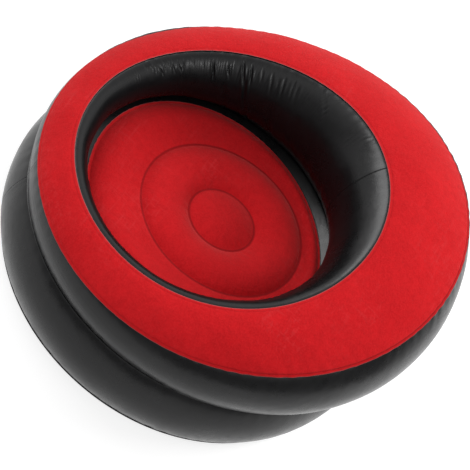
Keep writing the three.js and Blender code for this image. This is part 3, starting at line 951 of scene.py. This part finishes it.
def ring_inner_wall():
    angle = turns(INNER_WALL_STEPS, CREASE_CROWDING, math.radians(CREASED_TURN))
    angle = with_lap(angle, INNER_WALL_LAP, HOLE_SEAM.back)
    top = under_top(angle, 1 - WELD_ROWS[::-1, None] / band_chord(angle))
    hole = top[-1]
    foot = lifted(seam(WELL_SEAM, angle), WELD_GAP)
    share, from_hole, from_foot = placed_rows(hole, foot, WALL_NEAR, INNER_WALL_ROWS)
    points = inner_wall_arc(hole, foot, angle, share)
    radius = np.linalg.norm(points[..., :2], axis=-1)
    gathered = at_least(UNCREASED_GATHER_SHARE, creased_side(angle))
    rise = gathered * puckers(angle, from_hole, INNER_HOLE_GATHERS)
    rise -= HOLE_PINCH * fade(from_hole, HOLE_PINCH_LENGTH)
    rise += by_weld(angle, from_foot, PINCH, INNER_FOOT_GATHERS)
    roll = (1 - fade(from_hole, HOLE_ROLL_START)) * fade(from_hole, HOLE_ROLL_LENGTH)
    rise += around(HOLE_ROLL, angle) * roll
    rise += uneven(angle, from_hole, from_foot, INNER_WALL_GROUND)
    for sizes in INNER_WALL_CREASES + unseen_creases():
        rise += crease(angle, share, sizes, radius)
    rise += crest_streaks(angle, share)
    points = raised(points, rise + film_lap(angle, INNER_WALL_LAP, radius))
    points = moved(points, from_hole, HOLE_RIPPLE_LENGTH, hole_ripple(angle))
    outside = strip(foot, seam(BASE_SEAM, angle), WELD_ROWS[1:])
    points = np.concatenate([top[:2] + hole_ripple(angle), points, outside])
    return film_panel("inner_wall_film", points, FILM, PLAIN)


def unseen_creases():
    """Creases like those that show, for the side of the well that the photo hides."""
    random = np.random.default_rng(UNSEEN_SEED)
    creases = []
    for turn in np.linspace(*UNSEEN_TURNS, UNSEEN_CREASES):
        drawn = [random.uniform(least, most) for least, most in UNSEEN_SIZES]
        start, share, length, lean, half_width, depth = drawn
        start = turn + start
        creases.append((start, share, start + lean, share + length, half_width, depth))
    return creases


def well_wall_height(angle, inward):
    """Heights of the inner wall's underside at level distances in from its foot."""
    hole = seam(HOLE_SEAM, angle)
    foot = seam(WELL_SEAM, angle)
    low_part = np.linspace(LOW_PART_START_SHARE, 1, LOW_PART_STEPS)[:, None]
    wall = inner_wall_arc(hole, foot, angle, low_part * np.ones_like(angle))[::-1]
    reach = np.linalg.norm((wall - foot)[..., :2], axis=-1)
    columns = [
        np.interp(inward[:, step], reach[:, step], wall[:, step, 2])
        for step in range(angle.size)
    ]
    return np.stack(columns, axis=-1)


def deck_sheet():
    angle = turns(HIDDEN_STEPS)
    edge = ring(BASE_SEAM.half_width + SEAM_EDGE, BASE_SEAM.heights[0], angle)
    base = seam(BASE_SEAM, angle)
    well = seam(WELL_SEAM, angle)
    seat = lifted(seam(SEAT_SEAM, angle), -UNDER_FLOCK)
    inward = ring(SEAT_RING_RADIUS, SEAT_SEAM.heights[0] - UNDER_FLOCK, angle, SEAT_SETBACK)
    share = np.linspace(0, 1, MARGIN_ROWS)[:, None]
    margin = between(well, seat, share * np.ones(HIDDEN_STEPS))
    from_well = share * gap(well, seat)
    from_seat = (1 - share) * gap(well, seat)
    free = seat[:, 2] + from_seat * np.tan(np.radians(around(MARGIN_SLOPE, angle)))
    pressed_down = well_wall_height(angle, from_well) - MARGIN_ROOM
    low, high = np.minimum(free, pressed_down), np.maximum(free, pressed_down)
    margin[..., 2] = low - MARGIN_GIVE * np.exp((low - high) / MARGIN_SOFTNESS)
    margin[0, :, 2] = well[:, 2]
    margin[-1, :, 2] = seat[:, 2]
    deck = [between(base, well, share) for share in DECK_SHARES]
    rows = np.concatenate([edge[None], deck, margin, strip(seat, inward, WELD_ROWS[1:])])
    return film_panel("deck_film", rows, FILM, [WALL_FILM, FILM_BACK])


def weld_edges(radius, height, angle):
    """The outer and the inner edge of a round weld of the seat."""
    sides = (WELD_WIDTH / 2, -WELD_WIDTH / 2)
    return [ring(radius + side, height, angle, SEAT_SETBACK) for side in sides]


def puffed(start, end, middle, crown_share):
    """A part of the seat between two welds: its rows' shares of the way, and its points."""
    chord = gap(start, end)
    share = spread(SEAT_NEAR, middle, chord)
    return share, arc(start, end, crown_share * chord, share)


def seat_panel():
    angle = turns(SEAT_STEPS)
    edge = seam(SEAT_SEAM, angle)
    middle = ring(SEAT_RING_RADIUS, SEAT_SEAM.heights[0], angle, SEAT_SETBACK)
    lap = strip(edge, middle, [WELD_WIDTH])[0]
    ring_outer, ring_inner = weld_edges(SEAT_RING_RADIUS, SEAT_RING_HEIGHT, angle)
    button_outer, button_inner = weld_edges(SEAT_BUTTON_RADIUS, SEAT_BUTTON_HEIGHT, angle)
    share, edge_part = puffed(lap, ring_outer, SEAT_EDGE_ROWS, SEAT_EDGE_CROWN_SHARE)
    edge_part[..., 2] += SEAT_EDGE_SKEW * np.sin(FULL_TURN * share)
    ring_part = puffed(ring_inner, button_outer, SEAT_RING_ROWS, SEAT_RING_CROWN_SHARE)[1]
    dome_share = np.linspace(0, 1, SEAT_BUTTON_ROWS)[:, None]
    centre = np.array([0, -SEAT_SETBACK, SEAT_BUTTON_HEIGHT])
    dome = between(button_inner, centre, dome_share)
    dome[..., 2] += SEAT_BUTTON_CROWN * (1 - (1 - dome_share) ** SEAT_BUTTON_ROUNDNESS)
    strip_rows = between(edge, lap, SEAT_LAP_SHARES)
    ring_weld = between(ring_outer, ring_inner, WELD_SHARES)
    button_weld = between(button_outer, button_inner, WELD_SHARES)
    parts = [strip_rows, edge_part, ring_weld, ring_part, button_weld, dome]
    points = np.concatenate(parts)
    steps = np.linalg.norm(np.diff(points, axis=0), axis=-1)
    along = np.concatenate([np.zeros((1, SEAT_STEPS)), np.cumsum(steps, axis=0)])
    counts = np.cumsum([len(part) for part in parts])
    # A weld's middle is halfway between the last row before it and the first row after it
    from_ring, from_button = (
        np.abs(along - (along[counts[part] - 1] + along[counts[part + 1]]) / 2) for part in (1, 3)
    )
    pillow = 1 - line(from_ring, 0, SEAT_PILLOW_WIDTH) - line(from_button, 0, SEAT_PILLOW_WIDTH)
    rise = SEAT_RISE * (1 - fade(along - WELD_WIDTH, SEAT_RISE_LENGTH)) * pillow
    rise += puckers(angle, from_ring - WELD_WIDTH / 2, SEAT_RING_GATHERS)
    rise += puckers(angle, from_button - WELD_WIDTH / 2, SEAT_BUTTON_GATHERS)
    rise += puckers(angle, along - WELD_WIDTH, SEAT_EDGE_GATHERS)
    calm = by_both(from_ring, from_button, GROUND_START)
    rise += calm * uneven(angle, along, along, SEAT_GROUND)
    rise[counts[4] :] *= 1 - dome_share
    points[..., 2] += rise
    points = moved(points, along, SEAT_RIPPLE_LENGTH, edge_ripple(angle, SEAT_RIPPLE, 1))
    # Pressed pile on the seat's welds, darkened partly as painted shade in their grooves
    pressed_and_shaded = line(from_ring, 0, SEAT_MARK_WIDTH) + line(from_button, 0, SEAT_MARK_WIDTH)
    # The seat's cut edge gets a pale painted highlight
    shades = {"pressed_and_shaded": pressed_and_shaded, "edge_highlight": line(along, 0, EDGE_HIGHLIGHT_WIDTH)}
    return film_panel("seat_panel_flock", points, FLOCKED_FILM, FLOCKED, shades)


def base_side_wall(site):
    angle = with_lap(turns(BASE_STEPS), BASE_WALL_LAP, BASE_SEAM.half_width)
    film_room = FILM + WELD_GAP
    foot = lifted(seam(FOOT_SEAM, angle), film_room)
    top = lifted(seam(BASE_SEAM, angle), -film_room)
    share, from_foot, from_top = placed_rows(foot, top, WALL_NEAR, BASE_WALL_ROWS)
    points = arc(foot, top, BASE_WALL_BULGE, share)
    rise = by_weld(angle, from_foot, PINCH, BASE_FOOT_GATHERS)
    rise += by_weld(angle, from_top, PINCH, BASE_TOP_GATHERS)
    rise += uneven(angle, from_foot, from_top, BASE_WALL_GROUND)
    points = raised(points, rise + film_lap(angle, BASE_WALL_LAP, BASE_SEAM.half_width))
    edge = ring(FOOT_SEAM.half_width + SEAM_EDGE, FOOT_SEAM.heights[0] + film_room, angle)
    inward = lifted(strip(top, seam(WELL_SEAM, angle), WELD_ROWS[1:]), -film_room)
    points = np.concatenate([edge[None], points, inward])
    return film_panel("base_wall_film", points, FILM, PLAIN, site=site)


def groove(radius):
    """Radii and lifts across the shallow groove that an inner band draws into the sheet."""
    ways = WELD_WIDTH / 2 + GROOVE_SLOPE * np.array([1, 0.5, 0])
    lifts = GROOVE_LIFT * np.array([0, 0.5, 1])
    before = list(zip(radius - ways, lifts))
    return before + list(zip(radius + ways, lifts))[::-1]


def base_bottom_sheet():
    angle = turns(HIDDEN_STEPS)
    rounds = [(BOTTOM_CENTRE_RADIUS, 0), *groove(SEAT_BUTTON_RADIUS), (BOTTOM_BETWEEN_RADIUS, 0)]
    rounds += [*groove(SEAT_RING_RADIUS), *((radius, 0) for radius in BOTTOM_OUTER_RADII)]
    rows = [ring(radius, lift, angle, SEAT_SETBACK) for radius, lift in rounds]
    flat = ring(FOOT_SEAM.half_width - FOOT_FLAT_INSET, 0, angle)
    foot = seam(FOOT_SEAM, angle)
    for share in FOOT_SHARES:
        level = between(flat, foot, share)
        level[:, 2] = FOOT_SEAM.heights[0] * share**FOOT_CURVE
        rows.append(level)
    rows.append(ring(FOOT_SEAM.half_width + SEAM_EDGE, FOOT_SEAM.heights[0], angle))
    points = np.stack([np.zeros((HIDDEN_STEPS, 3)), *rows])
    return film_panel("bottom_film", points, FILM, PLAIN)


# Valve sizes, in the valve's own frame: first the neck in the wall, then the stopper, the blow
# tube through it, the cap and the straps
BORE_RADIUS = 17.0
NECK_RADIUS = 20.0
NECK_LOW = -3.0
LIP = 7.0
FLANGE_RADIUS = 30.0
FLANGE_THICKNESS = 2.0
FLANGE_DROP = 1.9
FILM_INSIDE = -FILM - WELD_GAP
PLUG_FIT = 0.3
STOPPER_LOW = LIP + PLUG_FIT
STOPPER_TOP = STOPPER_LOW + 2.0
STOPPER_RADIUS = 21.0
STOPPER_PLUG_LOW = STOPPER_LOW - 8.0
STOPPER_WALL = 1.5
STOPPER_LIFT_HALF_WIDTH = 6.5
GRIP_HALF_WIDTH = 5.0
GRIP_PLACES = (0.0, 1.5, 3.0)
BLOW_HOLE = 7.5
BLOW_TUBE = 9.2
BLOW_TUBE_LOW = LIP - 9.0
CAP_LOW = STOPPER_TOP + PLUG_FIT
CAP_TOP = CAP_LOW + 2.0
CAP_RADIUS = 11.0
CAP_PLUG_LOW = CAP_LOW - 5.0
CAP_LIFT_HALF_WIDTH = 3.2
HINGE_REACH = 24.0
CAP_HINGE_REACH = 14.0
STRAP_HALF_WIDTH = 4.2
CAP_STRAP_HALF_WIDTH = 2.4
STRAP_THICKNESS = 1.1
STRAP_STEPS = 9

# How the valves are made: the film's print over the flange, merging, bevels and sharp edges
PRINT_HEIGHT = 0.8
PRINT_SLOPE = 3.5
PRINT_ROOM_SHARE = 1.4
PRINT_CUTS = 4
SPIN_MERGE_DISTANCE = 0.0005
BEVEL_STEPS = 3
MOULDED_SHARP_ANGLE = 38
STRAP_SHARP_ANGLE = 50


class ValveSite:
    """Where a valve stands in a wall: its frame has +Z out of the wall and +Y up it."""

    def __init__(self, prefix, place, out):
        self.prefix = prefix
        self.place = Vector(place) * MILLIMETRE
        self.out = Vector(out).normalized()
        turn = self.out.to_track_quat("Z", "Y").to_matrix().to_4x4()
        self.frame = Matrix.Translation(self.place) @ turn @ Matrix.Scale(MILLIMETRE, 4)
        self.film_hole = (NECK_RADIUS + WELD_GAP) * MILLIMETRE


def turned_round(bm, profile):
    """Spins a profile of radius and height pairs round Z into a closed round shape."""
    chain = [bm.verts.new((radius, 0, height)) for radius, height in profile]
    edges = [bm.edges.new(pair) for pair in zip(chain, chain[1:])]
    if profile[0][0] > 0:
        edges.append(bm.edges.new((chain[-1], chain[0])))
    bmesh.ops.spin(
        bm,
        geom=chain + edges,
        axis=(0, 0, 1),
        cent=(0, 0, 0),
        angle=FULL_TURN,
        steps=ROUND_STEPS,
        use_merge=True,
    )
    bmesh.ops.remove_doubles(bm, verts=bm.verts, dist=SPIN_MERGE_DISTANCE)


def soft_block(bm, low, high, radius):
    """A block between two corners with rounded edges."""
    low, high = Vector(low), Vector(high)
    verts = bmesh.ops.create_cube(bm, size=1)["verts"]
    bmesh.ops.scale(bm, vec=high - low, verts=verts)
    bmesh.ops.translate(bm, vec=(low + high) / 2, verts=verts)
    edges = dict.fromkeys(edge for vertex in verts for edge in vertex.link_edges)
    bmesh.ops.bevel(
        bm,
        geom=list(edges),
        offset=radius,
        segments=BEVEL_STEPS,
        profile=0.5,
        affect="EDGES",
        material=-1,
    )


def placed(site, name, bm, finish, sharp_angle):
    """A valve's piece, brought from the valve's own frame to its place in the wall."""
    bmesh.ops.recalc_face_normals(bm, faces=bm.faces)
    bmesh.ops.transform(bm, matrix=site.frame, verts=bm.verts)
    piece = finished(f"{site.prefix}_{name}", bm, [finish])
    piece.data.set_sharp_from_angle(angle=math.radians(sharp_angle))
    return piece


def valve_piece(site, name, profile, blocks, finish):
    """A moulded piece of a valve: a round profile, and the blocks that stand on it, each with
    its low corner, its high corner and the rounding of its edges."""
    bm = bmesh.new()
    turned_round(bm, profile)
    for low, high, radius in blocks:
        soft_block(bm, low, high, radius)
    return placed(site, name, bm, finish, MOULDED_SHARP_ANGLE)


def valve_base(site):
    """Flange, neck with a rounded lip, and the shelf that carries the stopper's strap."""
    profile = [
        (BORE_RADIUS, NECK_LOW),
        (FLANGE_RADIUS, FILM_INSIDE - FLANGE_DROP - FLANGE_THICKNESS),
        (FLANGE_RADIUS, FILM_INSIDE - FLANGE_DROP),
        (NECK_RADIUS + 1.6, FILM_INSIDE - 0.9),
        (NECK_RADIUS + 0.1, FILM_INSIDE),
        (NECK_RADIUS, 0.6),
        (NECK_RADIUS, 2.2),
        (NECK_RADIUS - 0.45, 2.7),
        (NECK_RADIUS - 0.45, LIP - 2.0),
        (NECK_RADIUS, LIP - 1.6),
        (NECK_RADIUS, LIP - 0.7),
        (NECK_RADIUS - 0.25, LIP - 0.2),
        (NECK_RADIUS - 0.8, LIP),
        (BORE_RADIUS + 0.7, LIP),
        (BORE_RADIUS + 0.2, LIP - 0.2),
        (BORE_RADIUS, LIP - 0.7),
    ]
    half = STRAP_HALF_WIDTH + 0.8
    blocks = [
        ((-half, NECK_RADIUS - 0.8, LIP - 2.5), (half, HINGE_REACH + 3.0, LIP), 0.5),
        ((-0.9, NECK_RADIUS - 0.8, 1.2), (0.9, HINGE_REACH, LIP - 2.0), 0.35),
    ]
    neck = valve_piece(site, "valve_neck", profile, blocks, MOULDING)
    dress(neck, "chair", f"{site.prefix}_valve_base")


def valve_stopper(site):
    """Wide plug with a grip ring and a lifting lip, and the blow tube through its middle."""
    plug = BORE_RADIUS - PLUG_FIT
    profile = [
        (BLOW_HOLE, BLOW_TUBE_LOW + 0.3),
        (BLOW_HOLE + 0.3, BLOW_TUBE_LOW),
        (BLOW_TUBE - 0.3, BLOW_TUBE_LOW),
        (BLOW_TUBE, BLOW_TUBE_LOW + 0.3),
        (BLOW_TUBE, STOPPER_LOW - STOPPER_WALL),
        (plug - STOPPER_WALL - 0.2, STOPPER_LOW - STOPPER_WALL),
        (plug - STOPPER_WALL - 1.0, STOPPER_PLUG_LOW),
        (plug - 1.2, STOPPER_PLUG_LOW),
        (plug - 0.9, STOPPER_PLUG_LOW + 0.4),
        (plug - 0.1, STOPPER_LOW - 1.0),
        (plug - 0.1, STOPPER_LOW),
        (STOPPER_RADIUS - 0.6, STOPPER_LOW),
        (STOPPER_RADIUS - 0.1, STOPPER_LOW + 0.4),
        (STOPPER_RADIUS, STOPPER_LOW + 1.0),
        (STOPPER_RADIUS - 0.1, STOPPER_TOP - 0.5),
        (STOPPER_RADIUS - 0.6, STOPPER_TOP),
        (STOPPER_RADIUS - 1.6, STOPPER_TOP + 0.05),
        (STOPPER_RADIUS - 2.0, STOPPER_TOP - 0.5),
        (CAP_RADIUS + 3.4, STOPPER_TOP - 0.5),
        (CAP_RADIUS + 3.0, STOPPER_TOP),
        (CAP_RADIUS + 1.6, STOPPER_TOP + 0.5),
        (CAP_RADIUS + 1.0, STOPPER_TOP + 0.1),
        (BLOW_HOLE + 0.5, STOPPER_TOP),
        (BLOW_HOLE, STOPPER_TOP - 0.5),
    ]
    half = STRAP_HALF_WIDTH + 0.8
    low = (-half, STOPPER_RADIUS - 1.6, STOPPER_LOW + 0.1)
    blocks = [(low, (half, HINGE_REACH, STOPPER_TOP), 0.5)]
    half = STOPPER_LIFT_HALF_WIDTH
    low = (-half, -STOPPER_RADIUS - 4.5, STOPPER_LOW + 0.3)
    blocks.append((low, (half, -STOPPER_RADIUS + 1.4, STOPPER_TOP - 0.1), 0.8))
    half = GRIP_HALF_WIDTH
    for place in GRIP_PLACES:
        y = -STOPPER_RADIUS - 3.6 + place
        blocks.append(((-half, y, STOPPER_TOP - 0.4), (half, y + 0.7, STOPPER_TOP + 0.3), 0.2))
    half = CAP_STRAP_HALF_WIDTH + 0.7
    low = (CAP_HINGE_REACH + 1.2, -half, STOPPER_TOP - 0.9)
    blocks.append((low, (CAP_HINGE_REACH + 4.4, half, STOPPER_TOP + 0.7), 0.35))
    stopper = valve_piece(site, "valve_plug", profile, blocks, PLUG)
    dress(stopper, f"{site.prefix}_stopper", f"{site.prefix}_valve_stopper")


def valve_cap(site):
    """Small plug in the blow tube, with a dished top and a lip to lift it by."""
    plug = BLOW_HOLE - PLUG_FIT
    profile = [
        (0, CAP_PLUG_LOW + 1.2),
        (plug - 2.4, CAP_PLUG_LOW + 1.2),
        (plug - 2.0, CAP_PLUG_LOW),
        (plug - 1.1, CAP_PLUG_LOW),
        (plug - 0.8, CAP_PLUG_LOW + 0.4),
        (plug - 0.1, CAP_LOW - 0.3),
        (plug - 0.1, CAP_LOW),
        (CAP_RADIUS - 0.6, CAP_LOW),
        (CAP_RADIUS - 0.1, CAP_LOW + 0.4),
        (CAP_RADIUS, CAP_LOW + 1.0),
        (CAP_RADIUS - 0.1, CAP_TOP - 0.4),
        (CAP_RADIUS - 0.6, CAP_TOP),
        (CAP_RADIUS - 2.2, CAP_TOP),
        (CAP_RADIUS - 3.2, CAP_TOP - 0.6),
        (CAP_RADIUS - 6.0, CAP_TOP - 0.9),
        (0, CAP_TOP - 0.9),
    ]
    half = CAP_STRAP_HALF_WIDTH + 0.6
    low = (CAP_RADIUS - 1.2, -half, CAP_LOW + 0.1)
    blocks = [(low, (CAP_HINGE_REACH, half, CAP_TOP - 0.2), 0.4)]
    half = CAP_LIFT_HALF_WIDTH
    low = (-CAP_RADIUS - 2.6, -half, CAP_LOW + 0.1)
    blocks.append((low, (-CAP_RADIUS + 1.2, half, CAP_TOP - 0.3), 0.6))
    cap = valve_piece(site, "valve_cap_plug", profile, blocks, PLUG)
    dress(cap, f"{site.prefix}_cap", f"{site.prefix}_valve_cap")


def half_loop(start, middle, end):
    """Points of a smooth bend from one point to another, drawn towards a third."""
    share = np.linspace(0, 1, STRAP_STEPS)[:, None]
    start, middle, end = np.array(start), np.array(middle), np.array(end)
    points = (1 - share) ** 2 * start + 2 * share * (1 - share) * middle + share**2 * end
    return [Vector(point) for point in points]


def strap(site, name, path, across, half_width):
    """A thin flexible strap along a path, from one valve piece to the next."""
    across = Vector(across)
    bm = bmesh.new()
    side = [bm.verts.new(point - across * half_width) for point in half_loop(*path)]
    edges = [bm.edges.new(pair) for pair in zip(side, side[1:])]
    made = bmesh.ops.extrude_edge_only(bm, edges=edges)
    far_side = [item for item in made["geom"] if isinstance(item, bmesh.types.BMVert)]
    bmesh.ops.translate(bm, vec=across * 2 * half_width, verts=far_side)
    bmesh.ops.recalc_face_normals(bm, faces=bm.faces)
    bmesh.ops.solidify(bm, geom=bm.faces[:], thickness=STRAP_THICKNESS)
    piece = placed(site, name, bm, PLUG, STRAP_SHARP_ANGLE)
    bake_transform(piece)


def valve(site):
    """A valve's base with its neck, its stopper with the blow tube, its cap and two straps."""
    valve_base(site)
    valve_stopper(site)
    valve_cap(site)
    shelf = (0, HINGE_REACH + 2.6, LIP - 1.9)
    bend = (0, HINGE_REACH + 7.5, STOPPER_LOW - 0.4)
    path = (shelf, bend, (0, HINGE_REACH - 0.6, STOPPER_TOP - 0.5))
    strap(site, "valve_strap", path, (1, 0, 0), STRAP_HALF_WIDTH)
    shelf = (CAP_HINGE_REACH + 3.8, 0, STOPPER_TOP + 0.2)
    bend = (CAP_HINGE_REACH + 4.8, 0, CAP_TOP + 0.9)
    path = (shelf, bend, (CAP_HINGE_REACH - 0.6, 0, CAP_TOP - 0.7))
    strap(site, "valve_cap_strap", path, (0, 1, 0), CAP_STRAP_HALF_WIDTH)


def dress(piece, body, node_name):
    """Attaches a piece to the body it moves with, and hides the solid it stands for."""
    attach(piece, body)
    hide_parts(node_name)


RING_VALVE = ValveSite("ring", (-219.876, 539.188, 458.37), (-0.406474, 0.855868, 0.319795))
BASE_VALVE = ValveSite("base", (-205.085, 495.118, 140.006), (-0.37364, 0.901992, 0.216342))

for panel, node_name, slot, fill in (
    (ring_top_panel(), "ring_top_panel", "flocked_film", 0.95),
    (ring_outer_wall(RING_VALVE), "ring_outer_wall", "wall_film", 0.95),
    (ring_inner_wall(), "ring_inner_wall", "wall_film", 0.95),
    (deck_sheet(), "deck_sheet", "wall_film", None),
    (seat_panel(), "seat_panel", "flocked_film", 0.9),
    (base_side_wall(BASE_VALVE), "base_side_wall", "wall_film", 0.95),
    (base_bottom_sheet(), "base_bottom_sheet", "wall_film", None),
):
    dress(panel, "chair", node_name)
valve(RING_VALVE)
valve(BASE_VALVE)

# Pieces of the solid model that keep their shape: the bands inside the base and the flaps
for kept, finish in (
    ("seat_ring_baffle", WALL_FILM),
    ("seat_button_baffle", WALL_FILM),
    ("ring_valve_flap", PLUG),
    ("base_valve_flap", PLUG),
):
    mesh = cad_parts[kept].data
    mesh.materials.clear()
    mesh.materials.append(finish)

# Camera: the photo's frame is 470 pixels square, and its middle lies at pixel 235
PHOTO_MIDDLE = 235
PHOTO_WIDTH = 470
FOCAL_PIXELS = 1300
SENSOR = 36
CAMERA_AZIMUTH = 49.661
CAMERA_ELEVATION = 45.68
CAMERA_ROLL = 41.33
CAMERA_DISTANCE = 3.316145
AIM_POINT = Vector((0, 0, 0.29))
AIM_PIXEL = (233.513, 209.44)

# Studio: light from all round, the backdrop's level in gloss by height, the side on which it
# is dim and where that side starts and ends, the floor and the lamps, in metres
AMBIENT = 0.48
STUDIO_LEVELS = ((0.01, 0.28), (0.26, 0.24), (0.45, 0.95), (0.6, 1.3), (0.8, 0.9), (0.95, 0.65))
DIM_SIDE = (0.985, -0.174, 0.0)
DIM_SIDE_REACH = (0.5, -0.1)
BRIGHT_SIDE_LEVEL = 0.9
FLOOR_RADIUS = 2.0
FLOOR_GLOW = 0.72
LAMP_DISTANCE = 5.0


def photo_camera():
    turn = Matrix.Rotation(math.radians(CAMERA_AZIMUTH), 3, "Z")
    turn = turn @ Matrix.Rotation(math.radians(90 - CAMERA_ELEVATION), 3, "X")
    turn = turn @ Matrix.Rotation(math.radians(CAMERA_ROLL), 3, "Z")
    right, below = (
        (pixel - PHOTO_MIDDLE) / FOCAL_PIXELS * CAMERA_DISTANCE for pixel in AIM_PIXEL
    )
    place = AIM_POINT + turn @ Vector((-right, below, CAMERA_DISTANCE))
    camera = bpy.data.objects.new("photo_camera", bpy.data.cameras.new("photo_camera"))
    camera.data.sensor_width = SENSOR
    camera.data.lens = FOCAL_PIXELS / PHOTO_WIDTH * SENSOR
    camera.matrix_world = Matrix.Translation(place) @ turn.to_4x4()
    bpy.context.scene.collection.objects.link(camera)
    bpy.context.scene.camera = camera


def studio_tree(owner):
    """An owner's node tree, emptied."""
    owner.use_nodes = True
    owner.node_tree.nodes.clear()
    return owner.node_tree


def seen_strength(tree, gloss_level, light_level):
    """1 where the camera or glass looks straight on, else what a reflection sees of it and
    how strongly it lights the chair."""
    path = tree.nodes.new("ShaderNodeLightPath").outputs
    strength = combined(tree, path["Is Camera Ray"], path["Is Transmission Ray"], "MAXIMUM")
    for ray, level in (("Is Glossy Ray", gloss_level), ("Is Diffuse Ray", light_level)):
        part = combined(tree, path[ray], level, "MULTIPLY")
        strength = combined(tree, strength, part, "MAXIMUM")
    return strength


def studio_floor():
    bm = bmesh.new()
    bmesh.ops.create_circle(bm, cap_ends=True, radius=FLOOR_RADIUS, segments=ROUND_STEPS)
    finish = bpy.data.materials.new("studio_floor")
    tree = studio_tree(finish)
    matt = node(tree, "ShaderNodeBsdfDiffuse", {"Color": FLOOR_GREY})
    strength = ranged(tree, seen_strength(tree, gloss_level=1.0, light_level=0.0), high=FLOOR_GLOW)
    glow = node(tree, "ShaderNodeEmission", {"Color": WHITE, "Strength": strength})
    both = node(tree, "ShaderNodeAddShader", {0: matt.outputs[0], 1: glow.outputs[0]})
    node(tree, "ShaderNodeOutputMaterial", {"Surface": both.outputs[0]})
    finished("studio_floor", bm, [finish])


def studio_world():
    """A white backdrop. Gloss sees it dim low down on one side and brighter higher up."""
    world = bpy.data.worlds.new("studio_world")
    tree = studio_tree(world)
    direction = node(tree, "ShaderNodeTexCoord").outputs["Generated"]
    parts = node(tree, "ShaderNodeSeparateXYZ", {"Vector": direction})
    levels = node(tree, "ShaderNodeValToRGB", {"Fac": parts.outputs["Z"]})
    ramp = levels.color_ramp
    for height, level in STUDIO_LEVELS:
        stop = ramp.elements.new(height)
        stop.color = (level, level, level, 1.0)
    ramp.elements.remove(ramp.elements[0])
    ramp.elements.remove(ramp.elements[-1])
    side = node(tree, "ShaderNodeVectorMath", {0: direction, 1: DIM_SIDE}, operation="DOT_PRODUCT")
    dim, bright = DIM_SIDE_REACH
    bright_side = ranged(
        tree, side.outputs["Value"], high=BRIGHT_SIDE_LEVEL, start=dim, end=bright
    )
    level = combined(tree, levels.outputs["Color"], bright_side, "MAXIMUM")
    strength = seen_strength(tree, level, AMBIENT)
    backdrop = node(tree, "ShaderNodeBackground", {"Color": WHITE, "Strength": strength})
    node(tree, "ShaderNodeOutputWorld", {"Surface": backdrop.outputs[0]})
    bpy.context.scene.world = world


def softbox(name, turn, height, size, power, in_gloss=True, in_diffuse=True):
    """A soft oval lamp that looks at the chair from a turn and a height in degrees."""
    lean = Matrix.Rotation(math.radians(height), 3, "Y")
    away = Matrix.Rotation(math.radians(turn), 3, "Z") @ lean.inverted() @ Vector((1, 0, 0))
    lamp = bpy.data.lights.new(name, "AREA")
    lamp.shape = "ELLIPSE"
    lamp.size, lamp.size_y = size
    lamp.energy = power
    light = bpy.data.objects.new(name, lamp)
    light.location = AIM_POINT + away * LAMP_DISTANCE
    light.rotation_euler = away.to_track_quat("Z", "Y").to_euler()
    light.visible_glossy = in_gloss
    light.visible_diffuse = in_diffuse
    bpy.context.scene.collection.objects.link(light)


photo_camera()
studio_floor()
studio_world()
softbox("side_softbox", turn=213, height=31, size=(4.2, 3.8), power=107)
softbox("side_reflection", turn=216, height=34, size=(3.6, 3.4), power=80, in_diffuse=False)
softbox("right_reflection", turn=22, height=42, size=(1.6, 1.3), power=42, in_diffuse=False)
softbox("back_softbox", turn=88, height=36, size=(2.7, 2.2), power=146, in_gloss=False)
softbox("front_softbox", turn=320, height=52, size=(3.0, 2.4), power=44, in_gloss=False)

bpy.context.scene.view_settings.view_transform = "Standard"
